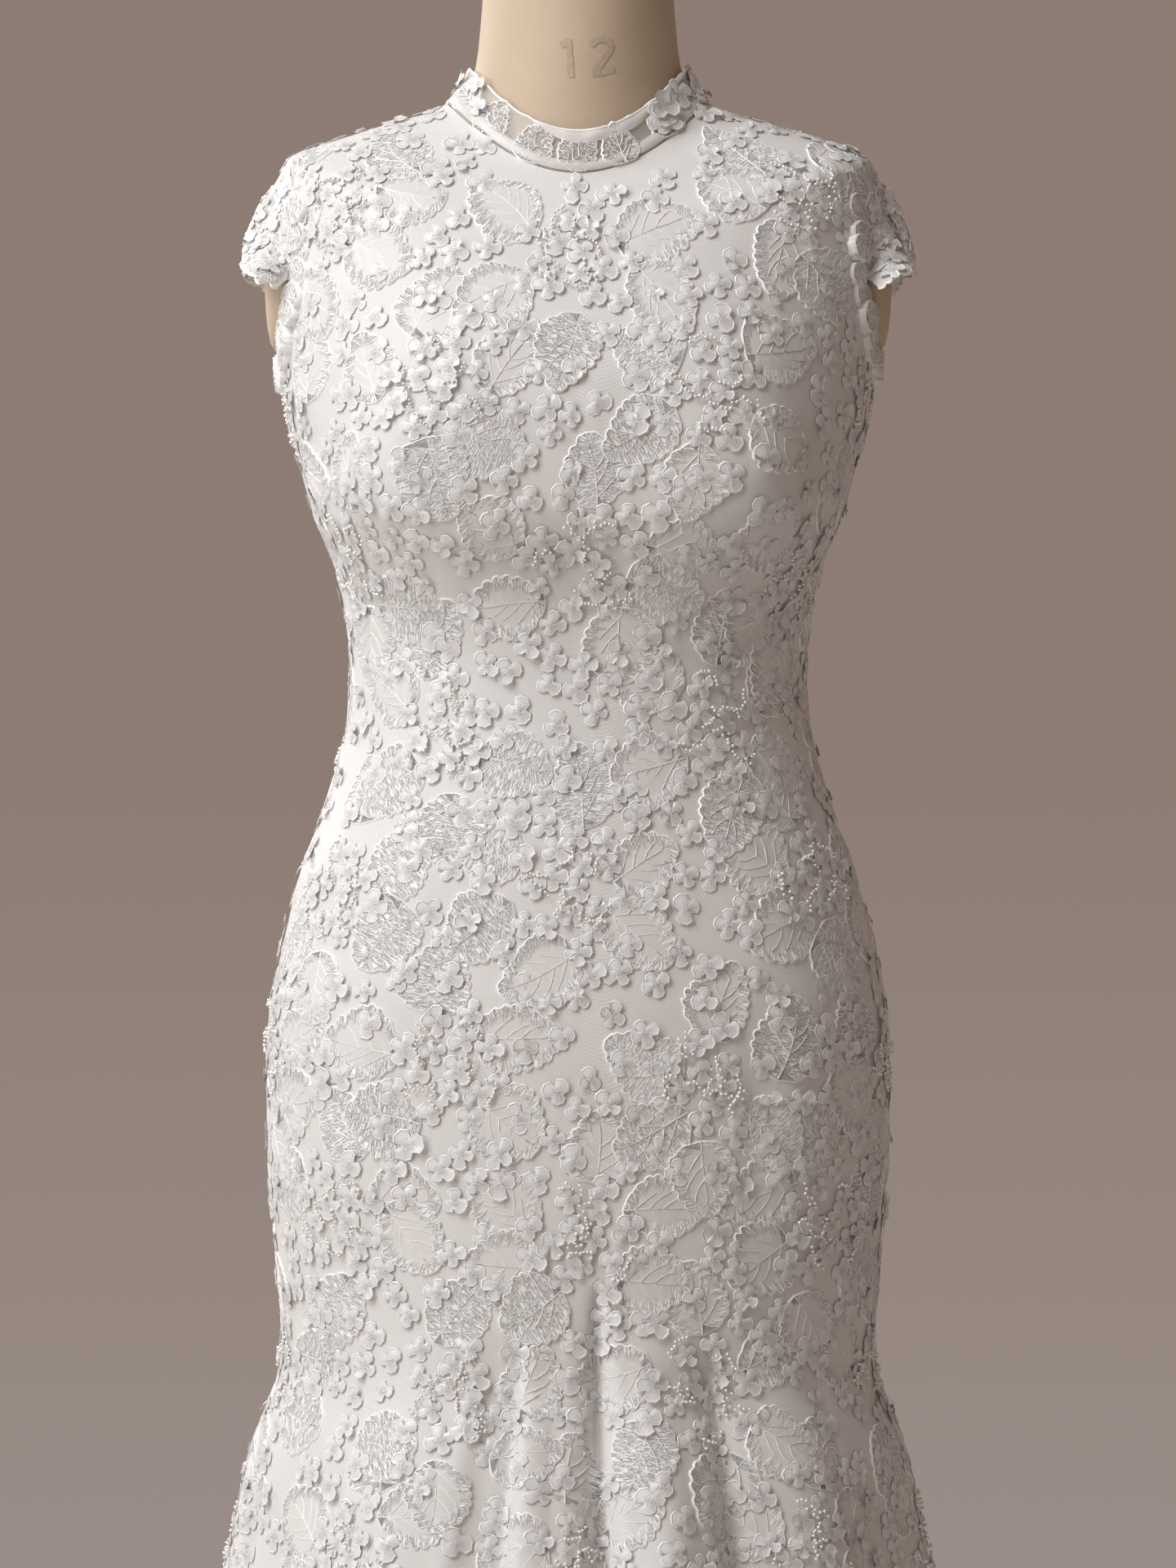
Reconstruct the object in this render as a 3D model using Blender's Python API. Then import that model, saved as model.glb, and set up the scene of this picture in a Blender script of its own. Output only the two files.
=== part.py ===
"""A trumpet wedding dress of floral lace, closed down the back, on a limbless dress form with a round stand.

Metres, +Z up. The front faces -Y, the wearer's left is +X and the floor is Z = 0. The cloth's outer face
without its raised flowers is skin(angle, level): angle turns from the front (0) over the wearer's left
(90 degrees) to the back, and level runs up the rings of RINGS. Panels are cut from that skin between seam
lines and given a wall.
"""

import math
from collections import namedtuple

import bpy
import numpy as np
from mathutils import Matrix, Vector
from mathutils.bvhtree import BVHTree
from mathutils.geometry import delaunay_2d_cdt

# Cloth
WALL = 0.0020
SKIRT_WALL = 0.0030
SEAM_GAP = 0.0006
TRIM_LIFT = 0.0011
TRIM_WALL = 0.0012

# The dress form
FORM_FLOOR = 0.790
NECK_TOP = 1.590
BODY_TURNS = 28
BODY_STEP = 0.032

# Levels of the seams
NECK_SEAM = 1.470
COLLAR_TOP = 1.500
CHEST_LEVEL = 1.2575
WAIST = 1.060
HEM = 0.010
SHOULDER_TIP = 1.372
SEAM_LEVEL = 0.660
SEAM_RISE = 0.036
PEAK_RISE = 0.022
PEAK_WIDTH = math.radians(8.0)
FRONT_PEAK_DEG = 5.5

# Bust mounds, one each side of the middle
BUST_X = 0.084
BUST_LEVEL = 1.185
BUST_HEIGHT = 0.022
BUST_ACROSS = 0.042
BUST_ABOVE = 0.062
BUST_BELOW = 0.044
BUST_FADE = 0.45

# Armhole, an oval round the side line
ARM_LEVEL = 1.317
ARM_HALF_LEVEL = 0.055
ARM_HALF_DEG = 14.5
ARM_STEP_DEG = 10
PRINCESS_TURN_DEG = 100
ARM_SCALLOP = 0.045

# Cap sleeve: its free edge hangs out over the form's arm plate.
CAP_TURN_DEG = 100
CAP_EDGE_X = 0.185
CAP_REACH = 0.0235
CAP_HALF_DEPTH = 0.052
CAP_EDGE_Z = 1.3085
CAP_EDGE_RISE = 0.0165
CAP_BULGE = 0.010
CAP_GAP = 0.0009
CAP_ROWS = 4
CAP_SCALLOP = 0.0028

# Raised lace
COLUMN_PITCH = 0.152
ROW_PITCH = 0.0990
ROW_ORIGIN = 1.335
LATTICE_ROWS = range(-14, 4)
LATTICE_COLUMNS = range(-5, 6)
ROSETTE_WIDE = 0.031
ROSETTE_NARROW = 0.026
ROSETTE_SIDES = 8
ROSETTE_CROWN = 0.017
CROWN_SIDES = 4
CROWN_OUT = 0.0021
CENTRE_OUT = 0.0029
LEAF_OUT = 0.0014
EDGE_MARGIN = 0.006
MOTIF_GAP = 0.0025
PLACKET_MARGIN = 0.0185

# Mesh spacing
SEAM_STEP = 0.028
BODICE_PITCH = 0.026
SKIRT_PITCH = 0.034
INNER_PITCH = 0.033
FLUTE_ROW = 0.085
FLUTE_SEAM_ROW = 0.045
FLUTE_NEAREST = 0.017
FLUTE_PARTS = 4
SHOULDER_PITCH = 0.0185
NET_LEAST = 0.62
HOLE_LEAST = 0.85
CHART_STEP = 0.004
DIFFERENCE = 0.0002
LEAST_MITRE = 0.15
REFINE_ROUNDS = 12
REFINE_NEAREST = 0.002
MM = 1000

# Back closure
PLACKET_HALF = 0.0095
PLACKET_END = 0.868
PLACKET_FLAT = 0.0130
PLACKET_SHORT = 0.0006
BUTTON_COUNT = 20
BUTTON_RADIUS = 0.0058
BUTTON_HEIGHT = 0.0046
BUTTON_SIDES = 8
BUTTON_PROFILE = ((0.72, 0.0), (1.0, 0.40), (0.58, 1.0))
BUTTON_SEAT = 0.0007
BUTTON_TOP = 1.452
BUTTON_FOOT = 0.880

# Collar
COLLAR_WALL = 0.0014
COLLAR_SCALLOP = 0.0022
COLLAR_TEETH = 18
BINDING_LOW = 1.4722
BINDING_HIGH = 1.4815

# Arm plate
PLATE_LEVEL = 1.3100
PLATE_HALF_LEVEL = 0.0405
PLATE_HALF_DEG = 11.0
PLATE_OUT = 0.0112
PLATE_SHOULDER = 0.0082
PLATE_DOME = 0.0104
PLATE_RIM = 0.0030
PLATE_TURNS = 20
PLATE_SEAT = 0.0010

# Stand
PLATE_GAP = 0.0003
BOARD_THICK = 0.012
BOARD_INSET = 0.985
POLE_RADIUS = 0.0140
FLANGE_RADIUS = 0.0450
FLANGE_THICK = 0.006
SLEEVE_RADIUS = 0.0200
SLEEVE_LOW = 0.560
BASE_RADIUS = 0.170
BASE_THICK = 0.016
HUB_RADIUS = 0.040
HUB_TOP = 0.050
POLE_FOOT = 0.0506
TURNED_SIDES = 20
BASE_SIDES = 32
CAP_DOME = 0.009

Ring = namedtuple("Ring", "level side_x side_z front_y front_z back_y back_z power")
Fold = namedtuple("Fold", "seam_deg hem_deg half_deg depth onset")
Stop = namedtuple("Stop", "level x")
Ease = namedtuple("Ease", "level depth")
Leaf = namedtuple("Leaf", "across along turn_deg length width")


def flat_ring(z, side_x, front_y, back_y, power):
    """A level ring of the body or skirt, whose level is its height."""
    return Ring(z, side_x, z, front_y, z, back_y, z, power)


RINGS = (
    flat_ring(HEM, 0.375, 0.3858, 0.375, 2.00),
    flat_ring(0.150, 0.322, 0.312, 0.318, 2.00),
    flat_ring(0.300, 0.271, 0.250, 0.258, 2.00),
    flat_ring(0.420, 0.236, 0.206, 0.217, 2.02),
    flat_ring(0.540, 0.2070, 0.166, 0.180, 2.06),
    flat_ring(0.600, 0.1965, 0.149, 0.166, 2.10),
    flat_ring(0.660, 0.1805, 0.132, 0.153, 2.15),
    flat_ring(0.720, 0.1840, 0.129, 0.151, 2.18),
    flat_ring(0.780, 0.1888, 0.129, 0.151, 2.20),
    flat_ring(0.840, 0.1890, 0.128, 0.152, 2.22),
    flat_ring(0.870, 0.1878, 0.126, 0.150, 2.22),
    flat_ring(0.900, 0.1822, 0.122, 0.146, 2.22),
    flat_ring(0.930, 0.1757, 0.1175, 0.140, 2.22),
    flat_ring(0.960, 0.1668, 0.1130, 0.132, 2.20),
    flat_ring(0.990, 0.1555, 0.1080, 0.122, 2.20),
    flat_ring(1.020, 0.1462, 0.1035, 0.110, 2.20),
    flat_ring(1.050, 0.1402, 0.1000, 0.100, 2.20),
    flat_ring(1.080, 0.1390, 0.0985, 0.0945, 2.20),
    flat_ring(1.110, 0.1415, 0.1005, 0.0930, 2.20),
    flat_ring(1.140, 0.1478, 0.1060, 0.0960, 2.22),
    flat_ring(1.170, 0.1592, 0.1125, 0.1010, 2.25),
    flat_ring(1.200, 0.1682, 0.1165, 0.1060, 2.28),
    flat_ring(1.230, 0.1755, 0.1180, 0.1100, 2.30),
    flat_ring(CHEST_LEVEL, 0.1790, 0.1165, 0.1120, 2.32),
    Ring(1.295, 0.1805, 1.3000, 0.1085, 1.2900, 0.1115, 1.3020, 2.32),
    Ring(1.335, 0.1808, 1.3450, 0.0980, 1.3170, 0.1075, 1.3420, 2.28),
    Ring(SHOULDER_TIP, 0.1780, 1.3865, 0.0875, 1.3400, 0.0995, 1.3720, 2.18),
    Ring(1.392, 0.1600, 1.3965, 0.0810, 1.3515, 0.0890, 1.3885, 2.10),
    Ring(1.425, 0.1250, 1.4085, 0.0745, 1.3625, 0.0780, 1.4040, 2.05),
    Ring(NECK_SEAM, 0.0810, 1.4235, 0.0690, 1.3735, 0.0670, 1.4180, 2.00),
    Ring(COLLAR_TOP, 0.0668, 1.4450, 0.0635, 1.4000, 0.0620, 1.4520, 2.00),
    Ring(1.530, 0.0636, 1.4690, 0.0615, 1.4470, 0.0605, 1.4740, 2.00),
    Ring(1.560, 0.0618, 1.4950, 0.0603, 1.4950, 0.0600, 1.4950, 2.00),
    Ring(NECK_TOP, 0.0612, 1.5300, 0.0598, 1.5300, 0.0596, 1.5300, 2.00),
)

# How far the dress form lies inside the skin
EASES = (
    Ease(FORM_FLOOR, 0.0062),
    Ease(CHEST_LEVEL, 0.0060),
    Ease(1.350, 0.0062),
    Ease(SHOULDER_TIP, 0.0076),
    Ease(1.400, 0.0066),
    Ease(1.425, 0.0068),
    Ease(NECK_SEAM, 0.0044),
    Ease(COLLAR_TOP, 0.0037),
    Ease(NECK_TOP, 0.0035),
)

# Flutes of the flounce: a positive depth stands out, a negative one falls in. They grow below the seam.
FOLDS = (
    Fold(5.5, 5.0, 6.5, -0.0150, 0.12),
    Fold(18.5, 21.0, 7.5, 0.0140, 0.16),
    Fold(33.0, 37.0, 7.5, -0.0140, 0.17),
    Fold(50.0, 54.0, 8.5, 0.0145, 0.22),
    Fold(68.0, 71.0, 9.0, -0.0150, 0.26),
    Fold(88.0, 89.0, 10.0, 0.0185, 0.28),
    Fold(109.0, 110.0, 10.5, -0.0160, 0.28),
    Fold(131.0, 131.0, 10.5, 0.0180, 0.24),
    Fold(154.0, 154.0, 11.0, -0.0160, 0.24),
    Fold(178.0, 178.0, 11.0, 0.0165, 0.22),
    Fold(-157.0, -157.0, 11.0, -0.0155, 0.22),
    Fold(-134.0, -134.0, 11.0, 0.0175, 0.26),
    Fold(-112.0, -112.0, 10.5, -0.0160, 0.28),
    Fold(-89.0, -90.0, 10.5, 0.0180, 0.28),
    Fold(-64.0, -66.0, 10.5, -0.0160, 0.24),
    Fold(-40.0, -43.0, 10.0, 0.0155, 0.20),
    Fold(-18.0, -21.0, 7.0, -0.0130, 0.13),
    Fold(-6.5, -8.0, 5.5, 0.0085, 0.14),
)

# The princess seam runs from the armhole over the bust and down to the flounce.
PRINCESS = (
    Stop(0.660, 0.097),
    Stop(0.840, 0.100),
    Stop(0.960, 0.094),
    Stop(1.060, 0.082),
    Stop(1.120, 0.0845),
    Stop(1.185, 0.092),
    Stop(1.235, 0.108),
    Stop(1.280, 0.142),
)

# The leaves beside each flower cluster, from the cluster's centre
LEAVES = (
    Leaf(0.037, 0.049, 115.0, 0.047, 0.033),
    Leaf(-0.038, 0.047, 60.0, 0.047, 0.033),
    Leaf(0.075, 0.001, 92.0, 0.052, 0.038),
)
LEAF_OUTLINE = ((-0.46, -0.20), (0.02, -0.50), (0.50, 0.00), (0.02, 0.50), (-0.46, 0.20))


def smooth_curve(places, values):
    """A function that follows the values at their places smoothly and never overshoots them."""
    places = np.asarray(places, float)
    values = np.asarray(values, float)
    steps = np.diff(places)
    rises = np.diff(values) / steps
    before, after = rises[:-1], rises[1:]
    agree = before * after > 0
    inner = np.where(agree, 2 * before * after / np.where(agree, before + after, 1.0), 0.0)
    slopes = np.concatenate([rises[:1], inner, rises[-1:]])

    def at(place):
        place = np.clip(place, places[0], places[-1])
        row = np.clip(np.searchsorted(places, place, side="right") - 1, 0, len(steps) - 1)
        part = (place - places[row]) / steps[row]
        rest = 1 - part
        ends = values[row] * rest**2 * (1 + 2 * part) + values[row + 1] * part**2 * (1 + 2 * rest)
        return ends + steps[row] * part * rest * (slopes[row] * rest - slopes[row + 1] * part)

    return at


FORM_DEPTH = smooth_curve([ease.level for ease in EASES], [ease.depth for ease in EASES])
RING_LEVELS, *RING_SIZES = zip(*RINGS)
RING_CURVES = [smooth_curve(RING_LEVELS, sizes) for sizes in RING_SIZES]


def wrapped(angle):
    return (angle + math.pi) % (2 * math.pi) - math.pi


def flounce_seam(angle):
    """Level of the seam above the flounce: an inverted V at the front and the back."""
    rise = SEAM_RISE * np.abs(np.cos(angle)) ** 1.5
    front = np.exp(-np.abs(wrapped(angle - math.radians(FRONT_PEAK_DEG))) / PEAK_WIDTH)
    back = np.exp(-np.abs(wrapped(angle - math.pi)) / PEAK_WIDTH)
    return SEAM_LEVEL + rise + PEAK_RISE * (front + back)


FLUTES = sorted(FOLDS, key=lambda fold: fold.seam_deg)


def flute_angle(column, level):
    """The angle of a line down the flounce; every line FLUTE_PARTS on follows the middle of a flute."""
    share = min(max((SEAM_LEVEL - level) / (SEAM_LEVEL - HEM), 0.0), 1.0)
    number, part = divmod(column, FLUTE_PARTS)
    here, following = FLUTES[number], FLUTES[(number + 1) % len(FLUTES)]
    start, end = (fold.seam_deg + (fold.hem_deg - fold.seam_deg) * share for fold in (here, following))
    return math.radians(start + (end - start) % 360 * part / FLUTE_PARTS)


def fold_reach(angle, level):
    """How far the flounce's flutes move the skin outwards."""
    drop = np.maximum(flounce_seam(angle) - level, 0.0)
    share = np.clip(drop / (SEAM_LEVEL - HEM), 0.0, 1.0)
    total = np.zeros(np.broadcast(angle, level).shape)
    for fold in FOLDS:
        middle = np.radians(fold.seam_deg + (fold.hem_deg - fold.seam_deg) * share)
        away = wrapped(angle - middle) / math.radians(fold.half_deg)
        total = total + fold.depth * np.exp(-(away**2)) * (1 - np.exp(-drop / fold.onset))
    return total


def bust_reach(x, level, facing):
    """How far the bust mounds move the skin outwards; facing is 1 at the front and 0 at the side."""
    above = np.where(level > BUST_LEVEL, BUST_ABOVE, BUST_BELOW)
    mound = np.exp(-(((np.abs(x) - BUST_X) / BUST_ACROSS) ** 2 + ((level - BUST_LEVEL) / above) ** 2) / 2)
    fade = np.clip(facing / BUST_FADE, 0.0, 1.0)
    return BUST_HEIGHT * mound * fade * fade * (3 - 2 * fade)


def skin(angle, level):
    """The cloth's outer face without its raised lace."""
    side_x, side_z, front_y, front_z, back_y, back_z, power = [curve(level) for curve in RING_CURVES]
    facing = np.cos(angle)
    depth = np.where(facing > 0, front_y, back_y)
    middle_z = np.where(facing > 0, front_z, back_z)
    across = np.abs(np.sin(angle)) / side_x
    reach = (across**power + (np.abs(facing) / depth) ** power) ** (-1 / power)
    side_share = np.minimum(across * reach, 1.0)
    z = middle_z + (side_z - middle_z) * side_share**2
    reach = reach + bust_reach(reach * np.sin(angle), level, facing) + fold_reach(angle, level)
    return np.stack([reach * np.sin(angle), -reach * facing, z + 0 * reach], axis=-1)


def frame_at(angle, level):
    """The skin's steps across and along, and its unit normal."""
    level = np.clip(level, RINGS[0].level + DIFFERENCE, RINGS[-1].level - DIFFERENCE)
    across = (skin(angle + DIFFERENCE, level) - skin(angle - DIFFERENCE, level)) / (2 * DIFFERENCE)
    along = (skin(angle, level + DIFFERENCE) - skin(angle, level - DIFFERENCE)) / (2 * DIFFERENCE)
    normal = np.cross(across, along)
    return across, along, normal / np.linalg.norm(normal, axis=-1, keepdims=True)


def moved_out(angle, level, out):
    """Points of the skin, moved out along its normal."""
    angle, level, out = np.broadcast_arrays(angle, level, out)
    return skin(angle, level) + frame_at(angle, level)[2] * out[..., None]


def nudged(angle, level, across, along):
    """The (angle, level) that lies so many metres across and along the cloth from a place on it."""
    step_across, step_along, _ = frame_at(angle, level)
    unit = step_across / np.linalg.norm(step_across)
    slant = float(step_along @ unit)
    rise = math.sqrt(float(step_along @ step_along) - slant**2)
    up = along / rise
    return angle + (across - slant * up) / float(np.linalg.norm(step_across)), level + up


class Chart:
    """Lengths across and along the cloth from a panel's middle line, where shapes keep about their size."""

    def __init__(self, middle_deg, reach_deg):
        self.middle = math.radians(middle_deg)
        self.angles = self.middle + np.radians(np.arange(-reach_deg, reach_deg + 1.0))
        self.levels = np.arange(RINGS[0].level, RINGS[-1].level, CHART_STEP)
        grid = skin(self.angles[None, :], self.levels[:, None])
        across = np.linalg.norm(np.diff(grid, axis=1), axis=2)
        along = np.linalg.norm(np.diff(grid, axis=0), axis=2)
        self.across = np.pad(np.cumsum(across, axis=1), ((0, 0), (1, 0)))
        self.across -= self.across[:, [reach_deg]]
        self.along = np.pad(np.cumsum(along, axis=0), ((1, 0), (0, 0)))
        waist_row = np.searchsorted(self.levels, WAIST)
        self.along += WAIST - self.along[[waist_row], :]
        self.side = self.along.max(axis=1) if middle_deg else self.along.mean(axis=1)

    def place(self, angle, level):
        """Chart coordinates of a place on the skin."""
        column = np.clip((angle - self.angles[0]) / math.radians(1.0), 0, len(self.angles) - 1.001)
        row = np.clip((level - self.levels[0]) / CHART_STEP, 0, len(self.levels) - 1.001)
        left, low = column.astype(int), row.astype(int)
        right_share, up_share = column - left, row - low

        def mixed(table):
            lower = table[low, left] * (1 - right_share) + table[low, left + 1] * right_share
            upper = table[low + 1, left] * (1 - right_share) + table[low + 1, left + 1] * right_share
            return lower * (1 - up_share) + upper * up_share

        return np.stack([mixed(self.across), mixed(self.along)], axis=-1)

    def level_at(self, along):
        """The level on the middle line at a length along it."""
        return float(np.interp(along, self.along[:, len(self.angles) // 2], self.levels))

    def angle_at(self, across, level):
        """The angle at a length across from the middle line, or None past the chart's reach."""
        row = min(int((level - self.levels[0]) / CHART_STEP), len(self.levels) - 1)
        if not self.across[row, 0] < across < self.across[row, -1]:
            return None
        return float(np.interp(across, self.across[row], self.angles))


def from_front(angle, level, pieces=48):
    """Length round the skin from the front to an angle."""
    points = skin(np.linspace(0.0, angle, pieces), level)
    return math.copysign(float(np.linalg.norm(np.diff(points, axis=0), axis=1).sum()), angle)


def inset(points, gap):
    """A closed outline, anticlockwise, drawn in by a gap."""
    before = points - np.roll(points, 1, axis=0)
    after = np.roll(points, -1, axis=0) - points
    units = [side / np.linalg.norm(side, axis=1, keepdims=True) for side in (before, after)]
    inward = [np.stack([-unit[:, 1], unit[:, 0]], axis=1) for unit in units]
    mitre = inward[0] + inward[1]
    scale = np.maximum((mitre * inward[0]).sum(axis=1, keepdims=True), LEAST_MITRE)
    return mitre / scale * gap


def edge_distance(points, outline):
    """Each point's distance to a closed outline, and whether the point is inside."""
    start, end = outline, np.roll(outline, -1, axis=0)
    side = end - start
    offset = points[:, None, :] - start[None, :, :]
    share = np.clip((offset * side).sum(axis=2) / (side**2).sum(axis=1), 0, 1)
    distance = np.linalg.norm(offset - share[..., None] * side, axis=2).min(axis=1)
    above = outline[None, :, 1] > points[:, None, 1]
    crosses = above != (end[None, :, 1] > points[:, None, 1])
    height = np.where(side[:, 1] == 0, 1e-12, side[:, 1])
    meet = start[:, 0] + (points[:, None, 1] - start[:, 1]) / height * side[:, 0]
    inside = (crosses & (points[:, None, 0] < meet)).sum(axis=1) % 2 == 1
    return distance, inside


def crossed(loop, outline):
    """Whether any side of a loop of points crosses a side of a closed outline."""

    def turn(a, b, c):
        side, other = b - a, c - a
        return side[..., 0] * other[..., 1] - side[..., 1] * other[..., 0]

    a, b = loop[:, None], np.roll(loop, -1, axis=0)[:, None]
    c, d = outline[None], np.roll(outline, -1, axis=0)[None]
    return bool(((turn(a, b, c) * turn(a, b, d) < 0) & (turn(c, d, a) * turn(c, d, b) < 0)).any())


def bent(places):
    """Whether a straight side of a closed loop of places leaves the skin by half the wall."""
    following = np.roll(places, -1, axis=0)
    middles = (moved_out(*places.T) + moved_out(*following.T)) / 2
    away = moved_out(*((places + following) / 2).T) - middles
    return np.linalg.norm(away, axis=1).max() > WALL / 2


class Surface:
    """One face of a panel's wall: places with a height, first those of the outline."""

    def __init__(self, chart, outline, out):
        self.chart = chart
        self.places = [(angle, level, out) for angle, level in outline]
        self.outline = chart.place(*np.array(outline, float).T)
        self.flat = [tuple(point) for point in self.outline]
        self.edge_count = len(outline)
        self.links = []
        self.feet = []

    def add(self, places, margin, loops=()):
        """Adds the places that lie inside and clear of the motifs before; and their loops, when all do."""
        found = np.array([place[:2] for place in places], float)
        flat = self.chart.place(found[:, 0], found[:, 1])
        distance, inside = edge_distance(flat, self.outline)
        kept = inside & (distance > margin)
        for foot in self.feet:
            away, within = edge_distance(flat, foot)
            kept &= ~within & (away > MOTIF_GAP)
        first = len(self.places)
        for place, point, keep in zip(places, flat, kept):
            if keep:
                self.places.append(place)
                self.flat.append(tuple(point))
        if not kept.all() or not loops:
            return
        foot = flat[loops[0]]
        if any(crossed(foot, other) for other in [self.outline] + self.feet):
            return
        if bent(np.array(places)[loops[0]]):
            return
        self.feet.append(foot)
        for loop in loops:
            self.links += [(first + loop[i - 1], first + loop[i]) for i in range(len(loop))]

    def fill(self, pitch, out):
        """Adds places of an even triangular net away from the other places, closer at the shoulders."""
        chart = self.chart
        lows, highs = (function(place[1] for place in self.places) for function in (min, max))
        for fineness, least in ((1, NET_LEAST), (3, HOLE_LEAST)):
            step = pitch / fineness
            rises = np.arange(*np.interp((lows, highs), chart.levels, chart.side), step * math.sqrt(0.75))
            net = []
            for row, rise in enumerate(rises):
                level = float(np.interp(rise, chart.side, chart.levels))
                reach = chart.across[int((level - chart.levels[0]) / CHART_STEP)]
                for across in np.arange(reach[0] + step / 2 * (row % 2), reach[-1], step):
                    net.append((float(np.interp(across, reach, chart.angles)), level))
            net = np.array(net)
            flat = chart.place(net[:, 0], net[:, 1])
            distance, inside = edge_distance(flat, self.outline)
            finer = np.where(net[:, 1] > CHEST_LEVEL, min(SHOULDER_PITCH / pitch, 1.0), 1.0)
            for i in np.flatnonzero(inside & (distance > 0.5 * pitch * finer)):
                nearest = np.linalg.norm(np.array(self.flat) - flat[i], axis=1).min()
                if nearest > least * pitch * finer[i]:
                    self.places.append((*net[i], out))
                    self.flat.append(tuple(flat[i]))

    def add_flutes(self, columns, row_step, nearest, out):
        """Adds places along the flutes, which curve sharply round the skirt and slightly up it."""
        low, high = self.places[0][1], max(place[1] for place in self.places)
        for level in np.arange(low + row_step, high, row_step):
            for column in columns:
                angle = flute_angle(column, level)
                flat = self.chart.place(np.array([angle]), np.array([level]))
                distance, inside = edge_distance(flat, self.outline)
                away = np.linalg.norm(np.array(self.flat) - flat[0], axis=1).min()
                if inside[0] and distance[0] > nearest and away > nearest:
                    self.places.append((angle, level, out))
                    self.flat.append(tuple(flat[0]))

    def add_near(self, place):
        """Adds one place unless another one is close."""
        flat = self.chart.place(np.array([place[0]]), np.array([place[1]]))[0]
        if np.linalg.norm(np.array(self.flat) - flat, axis=1).min() > REFINE_NEAREST:
            self.places.append(tuple(place))
            self.flat.append(tuple(flat))

    def triangles(self):
        """Triangles between the places, inside the outline, facing out."""
        count = self.edge_count
        edges = [(i, (i + 1) % count) for i in range(count)] + self.links
        found = delaunay_2d_cdt([Vector(point) for point in self.flat], edges, [], 1, 1e-9, True)
        corners = [[found[3][vertex][0] for vertex in face] for face in found[2]]
        flat = np.array(self.flat)[np.array(corners)]
        inside = edge_distance(flat.mean(axis=1), self.outline)[1]
        side, other = flat[:, 1] - flat[:, 0], flat[:, 2] - flat[:, 0]
        turn = side[:, 0] * other[:, 1] - side[:, 1] * other[:, 0]
        return [face if way > 0 else face[::-1] for face, way, kept in zip(corners, turn, inside) if kept]

    def points(self, drawn_in):
        """The places in space, the outline's drawn in by an amount in the chart."""
        angle, level, out = np.array(self.places, float).T
        moves = inset(self.outline, drawn_in)
        for i, (across, along) in enumerate(moves):
            angle[i], level[i] = nudged(angle[i], level[i], across, along)
        return moved_out(angle, level, out)


def material(name, colour, roughness, metallic=0.0):
    made = bpy.data.materials.new(name)
    made.use_nodes = True
    shader = made.node_tree.nodes["Principled BSDF"]
    shader.inputs["Base Color"].default_value = (*colour, 1.0)
    shader.inputs["Roughness"].default_value = roughness
    shader.inputs["Metallic"].default_value = metallic
    made.diffuse_color = (*colour, 1.0)
    return made


def new_object(name, points, faces, finish, smooth_deg=40.0):
    mesh = bpy.data.meshes.new(name)
    mesh.from_pydata([tuple(point) for point in points], [], [tuple(face) for face in faces])
    mesh.shade_smooth()
    mesh.set_sharp_from_angle(angle=math.radians(smooth_deg))
    mesh.materials.append(finish)
    made = bpy.data.objects.new(name, mesh)
    bpy.context.scene.collection.objects.link(made)
    return made


def refined(outer, inner, drawn_in):
    """Adds places where a flat face of one surface would cut through the other."""
    for _ in range(REFINE_ROUNDS):
        sides = []
        for surface in (outer, inner):
            points, corners = surface.points(drawn_in), np.array(surface.triangles())
            tree = BVHTree.FromPolygons((points * MM).tolist(), corners.tolist(), all_triangles=True)
            middles = np.array(surface.places)[corners].mean(axis=1)
            bulge = np.linalg.norm(moved_out(*middles.T) - points[corners].mean(axis=1), axis=1)
            sides.append((surface, tree, middles, bulge))
        pairs = sides[0][1].overlap(sides[1][1])
        wanted = {(0, a) if sides[0][3][a] > sides[1][3][b] else (1, b) for a, b in pairs}
        if not wanted:
            return
        for side, face in sorted(wanted):
            sides[side][0].add_near(sides[side][2][face])


def walled(name, outer, inner, finish, drawn_in=SEAM_GAP / 2):
    """A closed solid between two surfaces that share their outline."""
    refined(outer, inner, drawn_in)
    shift = len(outer.places)
    count = outer.edge_count
    faces = outer.triangles()
    faces += [[corner + shift for corner in face[::-1]] for face in inner.triangles()]
    for i in range(count):
        following = (i + 1) % count
        faces.append([following, i, i + shift, following + shift])
    points = np.concatenate([outer.points(drawn_in), inner.points(drawn_in)])
    return new_object(name, points, faces, finish)


def grid_walled(name, outer, inner, finish, flipped=False):
    """A closed solid between two grids of points, rows upwards and columns anticlockwise seen from above."""
    rows, columns = outer.shape[:2]
    shift = rows * columns
    faces = []
    for row in range(rows - 1):
        for i in range(columns - 1):
            a = row * columns + i
            face = [a, a + 1, a + columns + 1, a + columns]
            faces += [face, [corner + shift for corner in face[::-1]]]
    edge = list(range(columns)) + [row * columns + columns - 1 for row in range(1, rows)]
    edge += list(range(shift - 2, shift - columns - 1, -1))
    edge += [row * columns for row in range(rows - 2, 0, -1)]
    for a, b in zip(edge, edge[1:] + edge[:1]):
        faces.append([b, a, a + shift, b + shift])
    if flipped:
        faces = [face[::-1] for face in faces]
    return new_object(name, np.concatenate([outer.reshape(-1, 3), inner.reshape(-1, 3)]), faces, finish)


def lofted(name, rings, finish, smooth_deg=40.0):
    """A closed solid through rings of points, bottom first, each anticlockwise from above."""
    count = len(rings[0])
    faces = [list(range(count))[::-1]]
    for row in range(len(rings) - 1):
        for i in range(count):
            following = (i + 1) % count
            low, high = row * count, (row + 1) * count
            faces.append([low + i, low + following, high + following, high + i])
    faces.append([(len(rings) - 1) * count + i for i in range(count)])
    return new_object(name, np.concatenate(rings), faces, finish, smooth_deg)


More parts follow.
